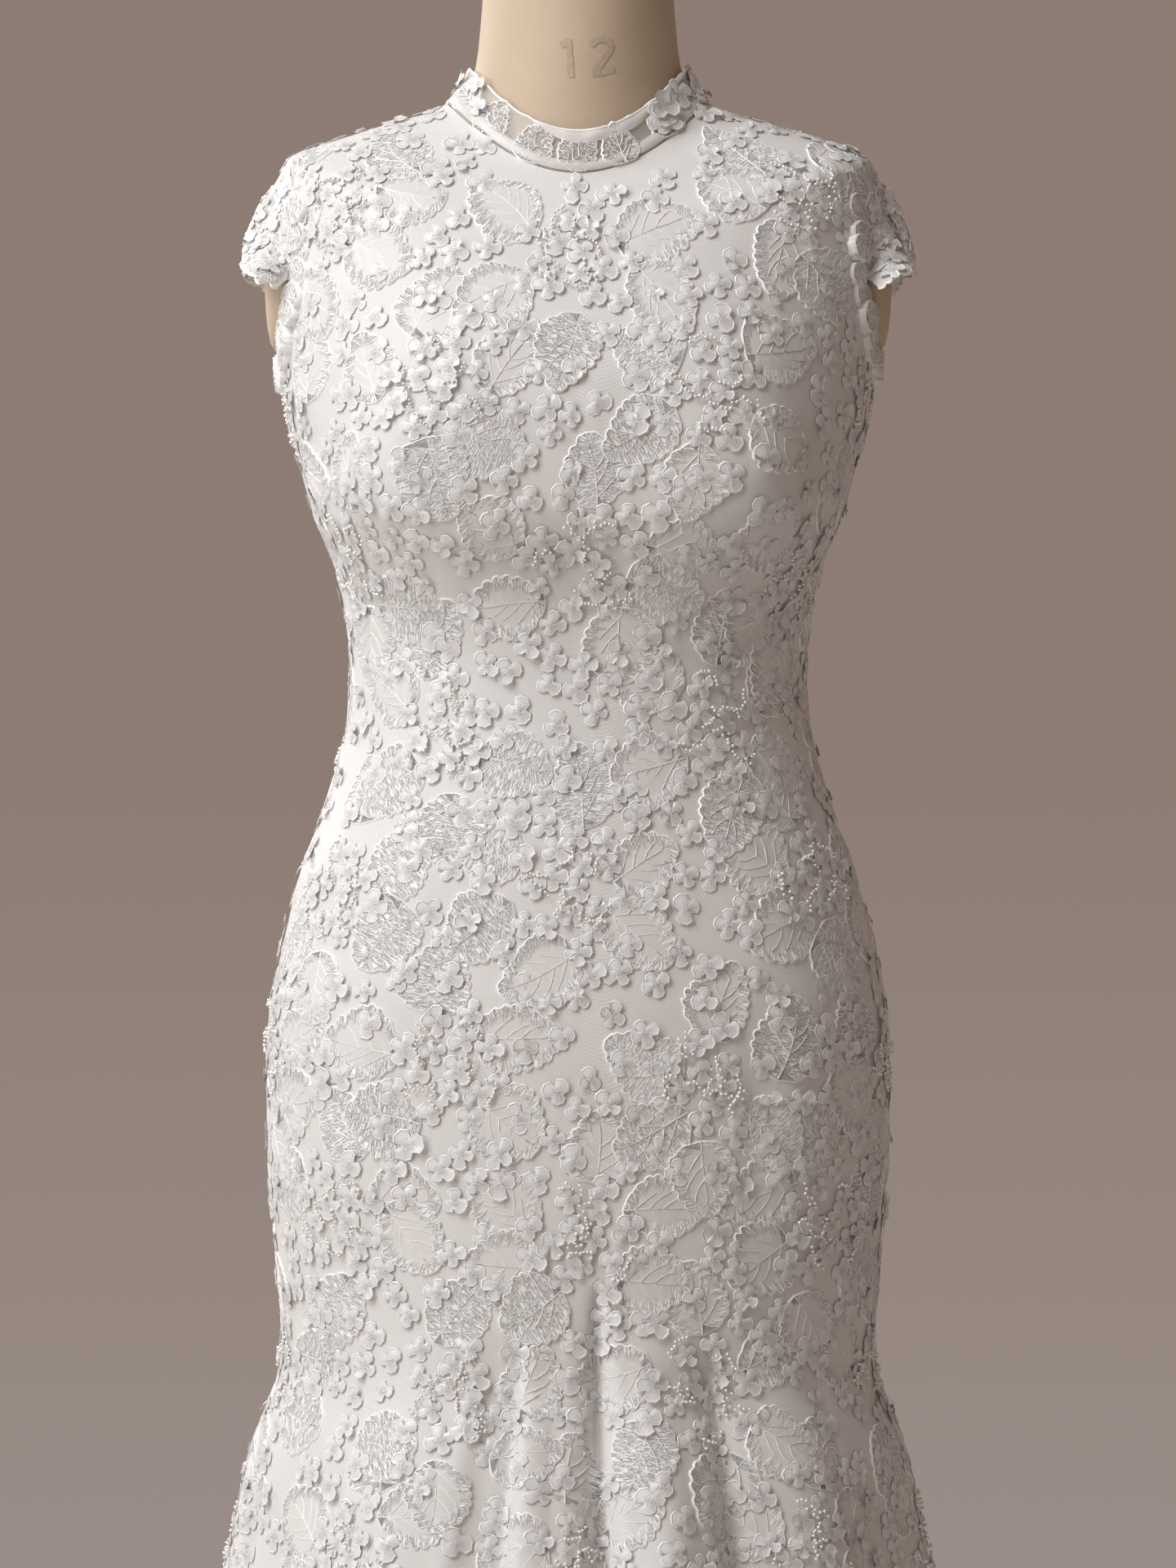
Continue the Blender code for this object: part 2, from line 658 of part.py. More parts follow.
def turned_rings(profile, sides):
    """Rings round the Z axis for a profile of (radius, height) rows."""
    turns = np.arange(sides) * 2 * math.pi / sides
    return [np.stack([r * np.cos(turns), r * np.sin(turns), np.full(sides, z)], axis=1) for r, z in profile]


# Seam lines, as lists of (angle, level)


def steps_between(start, end, length, step):
    """Even values from start to end, about a step of a length apart."""
    return np.linspace(start, end, max(int(math.ceil(length / step)), 1) + 1)


def angle_at_x(x, level):
    """The angle in the front left quarter where the skin has this x."""
    angles = np.radians(np.arange(0.0, 89.5, 0.5))
    return float(np.interp(x, skin(angles, level)[:, 0], angles))


def armhole_place(turn_deg, side):
    """A place on the armhole's edge: turn 0 is its top, 90 its front. Under the arm it is scalloped."""
    tooth = abs(turn_deg) > PRINCESS_TURN_DEG and (round(turn_deg) // ARM_STEP_DEG) % 2 == 1
    scale = 1 - ARM_SCALLOP * tooth
    turn = math.radians(turn_deg)
    angle = math.pi / 2 - math.radians(ARM_HALF_DEG) * math.sin(turn) * scale
    return side * angle, ARM_LEVEL + ARM_HALF_LEVEL * math.cos(turn) * scale


def armhole(start_deg, end_deg, side):
    step = math.copysign(ARM_STEP_DEG, end_deg - start_deg)
    return [armhole_place(turn, side) for turn in np.arange(start_deg, end_deg + step / 2, step)]


PRINCESS_TOP = armhole_place(PRINCESS_TURN_DEG, 1)
PRINCESS_X = smooth_curve(
    [stop.level for stop in PRINCESS] + [PRINCESS_TOP[1]],
    [stop.x for stop in PRINCESS] + [float(skin(*PRINCESS_TOP)[0])],
)


def princess_foot():
    """The angle where the princess seam meets the flounce seam."""
    angle = angle_at_x(PRINCESS[0].x, SEAM_LEVEL)
    for _ in range(6):
        level = float(flounce_seam(angle))
        angle = angle_at_x(float(PRINCESS_X(level)), level)
    return angle


PRINCESS_FOOT = princess_foot()


def princess(side):
    """The princess seam from the flounce seam up to the armhole."""
    low = float(flounce_seam(side * PRINCESS_FOOT))
    levels = steps_between(low, PRINCESS_TOP[1], PRINCESS_TOP[1] - low, SEAM_STEP)
    inner = [(side * angle_at_x(float(PRINCESS_X(level)), level), level) for level in levels[1:-1]]
    return [(side * PRINCESS_FOOT, low)] + inner + [(side * PRINCESS_TOP[0], PRINCESS_TOP[1])]


def upright(angle, low, high, step):
    """A seam straight up the skin at one angle."""
    return [(angle, level) for level in steps_between(low, high, high - low, step)]


def round_seam_angles():
    """Angles of the points that every panel shares along the flounce seam, from -180 to 180 degrees."""
    peak = math.radians(FRONT_PEAK_DEG)
    keys = [-math.pi, -math.pi / 2, -PRINCESS_FOOT, peak, PRINCESS_FOOT, math.pi / 2, math.pi]
    found = [keys[0]]
    for start, end in zip(keys, keys[1:]):
        length = abs(from_front(end, SEAM_LEVEL) - from_front(start, SEAM_LEVEL))
        found += list(steps_between(start, end, length, SEAM_STEP))[1:]
    return found


ROUND_SEAM = round_seam_angles()


def flounce_line(start, end):
    """The flounce seam between two angles, in either direction."""
    low, high = min(start, end) - 1e-6, max(start, end) + 1e-6
    line = [(angle, float(flounce_seam(angle))) for angle in ROUND_SEAM if low <= angle <= high]
    return line if start < end else line[::-1]


def ring_line(level, start, end, step=SEAM_STEP):
    """A line round the skin at one level."""
    length = abs(from_front(end, level) - from_front(start, level))
    return [(angle, level) for angle in steps_between(start, end, length, step)]


def joined(*lines):
    """Lines joined end to end into one closed outline, each shared corner kept once."""
    places = []
    for line in lines:
        for place in line:
            if not places or max(abs(place[0] - places[-1][0]), abs(place[1] - places[-1][1])) > 1e-7:
                places.append(place)
    first, last = places[0], places[-1]
    closes = max(abs(first[0] - last[0]), abs(first[1] - last[1])) < 1e-7
    return places[:-1] if closes else places


# Raised lace


def rosette(angle, level):
    """A flower cluster: a scalloped foot, a crown and a centre."""
    places = []
    for i in range(ROSETTE_SIDES):
        turn = 2 * math.pi * i / ROSETTE_SIDES
        radius = ROSETTE_WIDE if i % 2 == 0 else ROSETTE_NARROW
        places.append((*nudged(angle, level, radius * math.cos(turn), radius * math.sin(turn)), 0.0))
    for i in range(CROWN_SIDES):
        turn = 2 * math.pi * (i + 0.25) / CROWN_SIDES
        across, along = ROSETTE_CROWN * math.cos(turn), ROSETTE_CROWN * math.sin(turn)
        places.append((*nudged(angle, level, across, along), CROWN_OUT))
    places.append((angle, level, CENTRE_OUT))
    foot = list(range(ROSETTE_SIDES))
    crown = list(range(ROSETTE_SIDES, ROSETTE_SIDES + CROWN_SIDES))
    return places, [foot, crown]


def leaf(angle, level, shape):
    """A leaf: a pointed outline round one raised place."""
    turn = math.radians(shape.turn_deg)
    middle = nudged(angle, level, shape.across, shape.along)
    places = []
    for length_share, width_share in LEAF_OUTLINE:
        length, width = shape.length * length_share, shape.width * width_share
        across = length * math.cos(turn) - width * math.sin(turn)
        along = length * math.sin(turn) + width * math.cos(turn)
        places.append((*nudged(*middle, across, along), 0.0))
    places.append((*middle, LEAF_OUT))
    return places, [list(range(len(LEAF_OUTLINE)))]


def lace_margin(places):
    """How far each place of a motif keeps from the panel's edge: further beside the button strip."""
    angles, levels = np.array(places, float).T[:2]
    away = np.abs(wrapped(angles - math.pi)) * np.linalg.norm(skin(angles, levels)[:, :2], axis=1)
    beside = (away < 2 * PLACKET_MARGIN) & (levels > PLACKET_END - SEAM_STEP)
    return np.where(beside, PLACKET_MARGIN, EDGE_MARGIN)


def add_lace(surface):
    """Clusters on a half-drop net that runs on from panel to panel, with their leaves."""
    chart = surface.chart
    middle_run = from_front(chart.middle, float(np.mean([place[1] for place in surface.places])))
    motifs = []
    for row in LATTICE_ROWS:
        level = chart.level_at(ROW_ORIGIN + row * ROW_PITCH)
        if not RINGS[0].level < level < NECK_SEAM:
            continue
        first = math.floor(middle_run / COLUMN_PITCH)
        for column in LATTICE_COLUMNS:
            across = (first + column + 0.5 * (row % 2)) * COLUMN_PITCH - middle_run
            angle = chart.angle_at(across, level)
            if angle is not None:
                motifs.append(rosette(angle, level))
                motifs += [leaf(angle, level, shape) for shape in LEAVES]
    for places, loops in motifs:
        surface.add(places, lace_margin(places), loops)


def bodice_panel(name, middle_deg, reach_deg, outline, finish, flat_line=()):
    """A panel of lace: raised clusters and leaves outside, plain inside."""
    chart = Chart(middle_deg, reach_deg)
    outer = Surface(chart, outline, 0.0)
    if flat_line:
        outer.add([(angle, level, 0.0) for angle, level in flat_line], 0.001)
    add_lace(outer)
    outer.fill(BODICE_PITCH, 0.0)
    inner = Surface(chart, outline, -WALL)
    inner.fill(INNER_PITCH, -WALL)
    return walled(name, outer, inner, finish)


def flounce_panel(name, middle_deg, reach_deg, outline, finish):
    """A quarter of the flounce: lace outside, and inside rows that follow each flute."""
    chart = Chart(middle_deg, reach_deg)
    outer = Surface(chart, outline, 0.0)
    add_lace(outer)
    lines = range(FLUTE_PARTS * len(FLUTES))
    outer.add_flutes(lines[:: FLUTE_PARTS // 2], FLUTE_SEAM_ROW, FLUTE_NEAREST, 0.0)
    outer.fill(SKIRT_PITCH, 0.0)
    inner = Surface(chart, outline, -SKIRT_WALL)
    inner.add_flutes(lines, FLUTE_ROW, FLUTE_NEAREST, -SKIRT_WALL)
    return walled(name, outer, inner, finish)


# The dress


def build_body(finish):
    half = math.pi / 2
    shoulder = upright(half, SHOULDER_TIP, NECK_SEAM, 0.018)
    front = joined(
        flounce_line(-PRINCESS_FOOT, PRINCESS_FOOT),
        princess(1),
        armhole(PRINCESS_TURN_DEG, 0, 1),
        shoulder,
        ring_line(NECK_SEAM, half, -half, 0.016),
        [(-angle, level) for angle, level in shoulder[::-1]],
        armhole(0, PRINCESS_TURN_DEG, -1),
        princess(-1)[::-1],
    )
    bodice_panel("front_centre", 0.0, 100, front, finish)
    arm_foot = armhole_place(180, 1)[1]
    side_seam = upright(half, float(flounce_seam(half)), arm_foot, SEAM_STEP)
    back_seam = upright(math.pi, float(flounce_seam(math.pi)), NECK_SEAM, SEAM_STEP)
    outline = joined(
        flounce_line(PRINCESS_FOOT, half),
        side_seam,
        armhole(180, PRINCESS_TURN_DEG, 1),
        princess(1)[::-1],
    )
    mirrored = [(-angle, level) for angle, level in outline[::-1]]
    bodice_panel("front_side_left", 64.0, 60, outline, finish)
    bodice_panel("front_side_right", -64.0, 60, mirrored, finish)
    outline = joined(
        flounce_line(half, math.pi),
        back_seam,
        ring_line(NECK_SEAM, math.pi, half, 0.016),
        shoulder[::-1],
        armhole(0, -180, 1),
        side_seam[::-1],
    )
    mirrored = [(-angle, level) for angle, level in outline[::-1]]
    for name, side, edge in (("back_left", 1, outline), ("back_right", -1, mirrored)):
        flat_line = [
            nudged(side * math.pi, level, -side * PLACKET_FLAT, 0.0)
            for _, level in back_seam[1:-1]
            if level > PLACKET_END - SEAM_STEP
        ]
        bodice_panel(name, side * 135.0, 60, edge, finish, flat_line)


def build_flounce(finish):
    peak, half = math.radians(FRONT_PEAK_DEG), math.pi / 2
    quarters = (
        ("flounce_front_left", peak, half),
        ("flounce_back_left", half, math.pi),
        ("flounce_front_right", -half, peak),
        ("flounce_back_right", -math.pi, -half),
    )
    for name, start, end in quarters:
        outline = joined(
            ring_line(HEM, start, end),
            upright(end, HEM, float(flounce_seam(end)), FLUTE_SEAM_ROW),
            flounce_line(end, start),
            upright(start, HEM, float(flounce_seam(start)), FLUTE_SEAM_ROW)[::-1],
        )
        middle_deg = math.degrees((start + end) / 2)
        flounce_panel(name, middle_deg, 56, outline, finish)


def build_collar(net, finish):
    """The stand band, open at the centre back, and the folded band round its foot."""
    opening = SEAM_GAP / RINGS[-1].back_y
    angles = np.linspace(-math.pi + opening, math.pi - opening, 2 * COLLAR_TEETH + 1)
    teeth = COLLAR_SCALLOP * (np.arange(len(angles)) % 2)
    foot = NECK_SEAM + SEAM_GAP
    levels = np.array([0 * teeth + foot, 0 * teeth + (NECK_SEAM + COLLAR_TOP) / 2, COLLAR_TOP - teeth])
    grid = [moved_out(angles, row, 0 * row - depth) for depth in (0.0, COLLAR_WALL) for row in levels]
    grid_walled("collar", np.array(grid[:3]), np.array(grid[3:]), net)
    rows = (BINDING_LOW, BINDING_HIGH)
    grid = [moved_out(angles, level, out) for out in (TRIM_LIFT + TRIM_WALL, TRIM_LIFT) for level in rows]
    grid_walled("neck_binding", np.array(grid[:2]), np.array(grid[2:]), finish)


def build_cap(name, side, finish):
    """A cap sleeve from the armhole's upper edge to a scalloped free edge."""
    turns = np.arange(-CAP_TURN_DEG, CAP_TURN_DEG + 1, ARM_STEP_DEG)
    start = np.array([skin(*armhole_place(turn, 1)) for turn in turns])
    swing = np.radians(turns)
    easy = np.cos(swing * 0.9)
    end = np.stack(
        [
            CAP_EDGE_X + CAP_REACH * easy,
            -CAP_HALF_DEPTH * np.sin(swing),
            CAP_EDGE_Z + CAP_EDGE_RISE * np.cos(swing),
        ],
        axis=1,
    )
    span = end - start
    length = np.linalg.norm(span, axis=1, keepdims=True)
    teeth = CAP_SCALLOP * ((np.arange(len(turns)) % 2) * 2 - 1)[:, None] / length
    bulge = CAP_BULGE * easy[:, None] * np.array([0.85, 0.0, 0.5])
    rows = []
    for row in range(CAP_ROWS):
        share = row / (CAP_ROWS - 1)
        reach = share + (1 - share) * CAP_GAP / length + teeth * share**2
        rows.append(start + span * reach + bulge * np.sin(math.pi * reach))
    grid = np.stack(rows)
    down = np.gradient(grid, axis=0)
    round_edge = np.gradient(grid, axis=1)
    normal = np.cross(down, round_edge)
    normal /= np.linalg.norm(normal, axis=2, keepdims=True)
    middle = normal[1, len(turns) // 2]
    normal *= math.copysign(1.0, middle[0])
    mirror = np.array([side, 1, 1])
    return grid_walled(name, grid * mirror, (grid - normal * WALL) * mirror, finish, side < 0)


def button_levels():
    """Levels of the buttons, an even length apart down the centre back."""
    back = Chart(180.0, 1)
    top, foot = (back.place(math.pi, level)[1] for level in (BUTTON_TOP, BUTTON_FOOT))
    return [back.level_at(length) for length in np.linspace(top, foot, BUTTON_COUNT)]


def build_closure(finish):
    """The strip over the centre back opening, with a row at each of its covered buttons."""
    rows = [PLACKET_END] + button_levels()[::-1] + [NECK_SEAM - PLACKET_SHORT]
    columns = (-PLACKET_HALF, 0.0, PLACKET_HALF)
    places = np.array([[nudged(math.pi, level, across, 0.0) for across in columns] for level in rows])
    angles, levels = places[..., 0], places[..., 1]
    outer, inner = (moved_out(angles, levels, out) for out in (TRIM_LIFT + TRIM_WALL, TRIM_LIFT))
    grid_walled("button_placket", outer, inner, finish)
    rings = turned_rings([(BUTTON_RADIUS * r, BUTTON_HEIGHT * z) for r, z in BUTTON_PROFILE], BUTTON_SIDES)
    rest = TRIM_LIFT + TRIM_WALL + BUTTON_SEAT
    for number, level in enumerate(button_levels(), start=1):
        across, along, normal = frame_at(math.pi, level)
        side = Vector(across).normalized()
        out = Vector(normal)
        turn = Matrix((side, out.cross(side), out)).transposed().to_4x4()
        made = lofted(f"button_{number:02d}", rings, finish)
        made.matrix_world = Matrix.Translation(Vector(moved_out(math.pi, level, rest))) @ turn


# The dress form and its stand


def body_ring(level, scale=1.0, z=None):
    turns = np.arange(BODY_TURNS) * 2 * math.pi / BODY_TURNS
    ring = moved_out(turns, np.full(BODY_TURNS, level), -FORM_DEPTH(level))
    ring[:, :2] *= scale
    if z is not None:
        ring[:, 2] = z
    return ring


def build_form(canvas, wood):
    levels = list(steps_between(FORM_FLOOR, SHOULDER_TIP, SHOULDER_TIP - FORM_FLOOR, BODY_STEP))
    levels += list(steps_between(SHOULDER_TIP, NECK_TOP, NECK_TOP - SHOULDER_TIP, BODY_STEP))[1:]
    rings = [body_ring(level) for level in levels[1:-1]]
    floor_z = FORM_FLOOR + PLATE_GAP
    top_z = RINGS[-1].side_z
    rings.insert(0, body_ring(FORM_FLOOR + PLATE_GAP, z=floor_z))
    rings.append(body_ring(NECK_TOP - DIFFERENCE, z=top_z))
    lofted("form_body", rings, canvas)
    cap_rows = ((0.98, 0.0), (1.0, 0.3), (0.94, 0.8), (0.72, 1.0))
    rings = [
        body_ring(NECK_TOP - DIFFERENCE, scale=scale, z=top_z + PLATE_GAP + CAP_DOME * share)
        for scale, share in cap_rows
    ]
    lofted("form_neck_cap", rings, wood)
    board = [(BOARD_INSET - 0.02, 0.0), (BOARD_INSET, 0.2), (BOARD_INSET, 1.0)]
    rings = [
        body_ring(FORM_FLOOR, scale=scale, z=FORM_FLOOR - BOARD_THICK + BOARD_THICK * share)
        for scale, share in board
    ]
    lofted("form_base_board", rings, wood)


def build_arm_plate(name, side, canvas):
    """A rounded oval plate on the form where an arm would start."""
    chart = Chart(side * 90.0, 30)

    def oval(scale):
        turns = np.arange(PLATE_TURNS) * 2 * math.pi / PLATE_TURNS
        reach = math.radians(PLATE_HALF_DEG) * scale
        rise = PLATE_HALF_LEVEL * scale
        return [
            (side * math.pi / 2 + reach * math.cos(turn), PLATE_LEVEL + rise * math.sin(turn))
            for turn in turns
        ]

    outline = oval(1.0)
    outer = Surface(chart, outline, PLATE_RIM)
    outer.add([(angle, level, PLATE_SHOULDER) for angle, level in oval(0.86)], 0.001)
    outer.add([(angle, level, PLATE_DOME) for angle, level in oval(0.5)[::2]], 0.001)
    outer.add([(side * math.pi / 2, PLATE_LEVEL, PLATE_OUT)], 0.001)
    rest = PLATE_SEAT - float(FORM_DEPTH(PLATE_LEVEL))
    inner = Surface(chart, outline, rest)
    inner.add([(angle, level, rest) for angle, level in oval(0.5)[::2]], 0.001)
    inner.add([(side * math.pi / 2, PLATE_LEVEL, rest)], 0.001)
    walled(name, outer, inner, canvas, 0.0)


def build_stand(steel, iron):
    top = FORM_FLOOR - BOARD_THICK - PLATE_GAP
    pole = (
        (POLE_RADIUS, POLE_FOOT),
        (POLE_RADIUS, SLEEVE_LOW),
        (SLEEVE_RADIUS, SLEEVE_LOW + 0.002),
        (SLEEVE_RADIUS, top - FLANGE_THICK - 0.004),
        (FLANGE_RADIUS, top - FLANGE_THICK),
        (FLANGE_RADIUS, top),
    )
    lofted("stand_pole", turned_rings(pole, TURNED_SIDES), steel)
    base = (
        (BASE_RADIUS, 0.0),
        (BASE_RADIUS, BASE_THICK * 0.5),
        (BASE_RADIUS - 0.006, BASE_THICK * 0.85),
        (HUB_RADIUS * 1.3, BASE_THICK * 1.35),
        (HUB_RADIUS, BASE_THICK * 1.8),
        (HUB_RADIUS * 0.75, HUB_TOP),
    )
    lofted("stand_base", turned_rings(base, BASE_SIDES), iron)


def main():
    for old in list(bpy.data.objects):
        bpy.data.objects.remove(old, do_unlink=True)
    lace = material("ivory_lace", (0.86, 0.84, 0.80), 0.62)
    net = material("ivory_net", (0.84, 0.81, 0.75), 0.70)
    satin = material("ivory_satin", (0.88, 0.86, 0.82), 0.40)
    canvas = material("cream_canvas", (0.66, 0.56, 0.41), 0.78)
    wood = material("pale_wood", (0.46, 0.30, 0.17), 0.45)
    steel = material("satin_steel", (0.55, 0.55, 0.55), 0.30, 1.0)
    iron = material("black_iron", (0.03, 0.03, 0.03), 0.45)
    build_body(lace)
    build_flounce(lace)
    build_collar(net, satin)
    build_cap("cap_sleeve_left", 1, lace)
    build_cap("cap_sleeve_right", -1, lace)
    build_closure(satin)
    build_form(canvas, wood)
    build_arm_plate("form_arm_plate_left", 1, canvas)
    build_arm_plate("form_arm_plate_right", -1, canvas)
    build_stand(steel, iron)


main()
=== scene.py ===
"""The looks of a trumpet wedding dress of floral lace, closed down the back, on a limbless dress form.

Metres, +Z up. The front faces -Y, the wearer's left is +X and the floor is Z = 0. Cloth, lace and form all
follow skin(angle, level): angle turns from the front (0) over the wearer's left (90 degrees) to the back,
and level runs up the rings of RINGS, as in the part. Lace is stamped on the cloth by copying small shapes
that are drawn in metres across, along and out from a place on it.
"""

import math
from collections import namedtuple
from itertools import combinations

import bpy
import numpy as np
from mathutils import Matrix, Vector


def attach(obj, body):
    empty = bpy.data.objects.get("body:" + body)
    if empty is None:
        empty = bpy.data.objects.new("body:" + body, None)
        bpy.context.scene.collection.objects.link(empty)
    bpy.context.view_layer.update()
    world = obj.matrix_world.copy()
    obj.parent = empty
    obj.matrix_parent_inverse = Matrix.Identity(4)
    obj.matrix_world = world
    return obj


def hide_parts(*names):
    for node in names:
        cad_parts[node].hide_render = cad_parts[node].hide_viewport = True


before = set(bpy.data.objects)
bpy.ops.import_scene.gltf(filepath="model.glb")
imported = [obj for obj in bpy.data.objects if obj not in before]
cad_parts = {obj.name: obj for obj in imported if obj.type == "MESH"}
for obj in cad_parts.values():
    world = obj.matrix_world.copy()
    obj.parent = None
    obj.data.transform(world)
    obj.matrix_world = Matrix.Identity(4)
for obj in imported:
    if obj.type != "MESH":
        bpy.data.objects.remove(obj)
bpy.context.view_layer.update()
BODY = "root"
SEED = 12

# Levels and sizes of the cloth, as in the part
NECK_SEAM = 1.470
COLLAR_TOP = 1.500
CHEST_LEVEL = 1.2575
WAIST = 1.060
HEM = 0.010
SHOULDER_TIP = 1.372
SEAM_LEVEL = 0.660
SEAM_RISE = 0.036
SEAM_POWER = 1.5
PEAK_RISE = 0.022
PEAK_WIDTH = math.radians(8.0)
FRONT_PEAK = math.radians(5.5)
BUST_X = 0.084
BUST_LEVEL = 1.185
BUST_HEIGHT = 0.022
BUST_ACROSS = 0.042
BUST_ABOVE = 0.062
BUST_BELOW = 0.044
BUST_FADE = 0.45
ARM_LEVEL = 1.317
ARM_HALF_LEVEL = 0.055
ARM_HALF = math.radians(14.5)
SIDE = math.pi / 2
PRINCESS_TURN = math.radians(100)
CAP_EDGE_X = 0.185
CAP_REACH = 0.0235
CAP_HALF_DEPTH = 0.052
CAP_EDGE_Z = 1.3085
CAP_EDGE_RISE = 0.0165
CAP_TURN = math.radians(100)
BINDING_LOW = 1.4722
BINDING_HIGH = 1.4815

# Closure, as in the part
PLACKET_HALF = 0.0095
PLACKET_END = 0.868
TRIM_LIFT = 0.0011
TRIM_WALL = 0.0012
BUTTON_COUNT = 20
BUTTON_RADIUS = 0.0058
BUTTON_HEIGHT = 0.0046
BUTTON_TOP = 1.452
BUTTON_FOOT = 0.880
BUTTON_REST = 0.0030

# Dress form and stand, as in the part. The arm plate's rings have a scale of its oval and a reach outwards.
NECK_TOP = 1.590
FORM_FLOOR = 0.790
PIECE_GAP = 0.0003
BOARD_THICK = 0.012
NECK_DOME = 0.009
PLATE_LEVEL = 1.3100
PLATE_HALF_LEVEL = 0.0405
PLATE_HALF = math.radians(11.0)
PLATE_RISE = (
    (1.0, -0.0050),
    (1.0, 0.0026),
    (0.96, 0.0056),
    (0.86, 0.0082),
    (0.68, 0.0097),
    (0.5, 0.0104),
    (0.25, 0.0110),
)
POLE_RADIUS = 0.0140
POLE_FOOT = 0.0506
FLANGE_RADIUS = 0.0450
FLANGE_THICK = 0.006
SLEEVE_RADIUS = 0.0200
SLEEVE_LOW = 0.560
BASE_RADIUS = 0.170
BASE_THICK = 0.016
HUB_RADIUS = 0.040
HUB_TOP = 0.050

# Cloth of the scene
CELL = 0.0080
CLOTH_THICK = 0.0012
SEAM_DIP = 0.00006
SEAM_DIP_WIDTH = 0.0032
SEAM_DIP_HEIGHT = 0.004
SEAM_COLUMNS = (0.0024, 0.0058)

# Step for slopes, and the length that counts as none
DIFFERENCE = 0.0002
SMALL = 1e-9

Ring = namedtuple("Ring", "level side_x side_z front_y front_z back_y back_z power")
Fold = namedtuple("Fold", "seam_deg hem_deg half_deg depth onset")
Stop = namedtuple("Stop", "level x")
Ease = namedtuple("Ease", "level depth")
Crease = namedtuple("Crease", "side depth width path")


def flat_ring(z, side_x, front_y, back_y, power):
    """A level ring of the body or skirt, whose level is its height."""
    return Ring(z, side_x, z, front_y, z, back_y, z, power)


RINGS = (
    flat_ring(HEM, 0.375, 0.3858, 0.375, 2.00),
    flat_ring(0.150, 0.322, 0.312, 0.318, 2.00),
    flat_ring(0.300, 0.271, 0.250, 0.258, 2.00),
    flat_ring(0.420, 0.236, 0.206, 0.217, 2.02),
    flat_ring(0.540, 0.2070, 0.166, 0.180, 2.06),
    flat_ring(0.600, 0.1965, 0.149, 0.166, 2.10),
    flat_ring(0.660, 0.1805, 0.132, 0.153, 2.15),
    flat_ring(0.720, 0.1840, 0.129, 0.151, 2.18),
    flat_ring(0.780, 0.1888, 0.129, 0.151, 2.20),
    flat_ring(0.840, 0.1890, 0.128, 0.152, 2.22),
    flat_ring(0.870, 0.1878, 0.126, 0.150, 2.22),
    flat_ring(0.900, 0.1822, 0.122, 0.146, 2.22),
    flat_ring(0.930, 0.1757, 0.1175, 0.140, 2.22),
    flat_ring(0.960, 0.1668, 0.1130, 0.132, 2.20),
    flat_ring(0.990, 0.1555, 0.1080, 0.122, 2.20),
    flat_ring(1.020, 0.1462, 0.1035, 0.110, 2.20),
    flat_ring(1.050, 0.1402, 0.1000, 0.100, 2.20),
    flat_ring(1.080, 0.1390, 0.0985, 0.0945, 2.20),
    flat_ring(1.110, 0.1415, 0.1005, 0.0930, 2.20),
    flat_ring(1.140, 0.1478, 0.1060, 0.0960, 2.22),
    flat_ring(1.170, 0.1592, 0.1125, 0.1010, 2.25),
    flat_ring(1.200, 0.1682, 0.1165, 0.1060, 2.28),
    flat_ring(1.230, 0.1755, 0.1180, 0.1100, 2.30),
    flat_ring(CHEST_LEVEL, 0.1790, 0.1165, 0.1120, 2.32),
    Ring(1.295, 0.1805, 1.3000, 0.1085, 1.2900, 0.1115, 1.3020, 2.32),
    Ring(1.335, 0.1808, 1.3450, 0.0980, 1.3170, 0.1075, 1.3420, 2.28),
    Ring(SHOULDER_TIP, 0.1780, 1.3865, 0.0875, 1.3400, 0.0995, 1.3720, 2.18),
    Ring(1.392, 0.1600, 1.3965, 0.0810, 1.3515, 0.0890, 1.3885, 2.10),
    Ring(1.425, 0.1250, 1.4085, 0.0745, 1.3625, 0.0780, 1.4040, 2.05),
    Ring(NECK_SEAM, 0.0810, 1.4235, 0.0690, 1.3735, 0.0670, 1.4180, 2.00),
    Ring(COLLAR_TOP, 0.0668, 1.4450, 0.0635, 1.4000, 0.0620, 1.4520, 2.00),
    Ring(1.530, 0.0636, 1.4690, 0.0615, 1.4470, 0.0605, 1.4740, 2.00),
    Ring(1.560, 0.0618, 1.4950, 0.0603, 1.4950, 0.0600, 1.4950, 2.00),
    Ring(NECK_TOP, 0.0612, 1.5300, 0.0598, 1.5300, 0.0596, 1.5300, 2.00),
)

EASES = (
    Ease(FORM_FLOOR, 0.0062),
    Ease(CHEST_LEVEL, 0.0060),
    Ease(1.350, 0.0062),
    Ease(SHOULDER_TIP, 0.0076),
    Ease(1.400, 0.0066),
    Ease(1.425, 0.0068),
    Ease(NECK_SEAM, 0.0044),
    Ease(COLLAR_TOP, 0.0037),
    Ease(NECK_TOP, 0.0035),
)

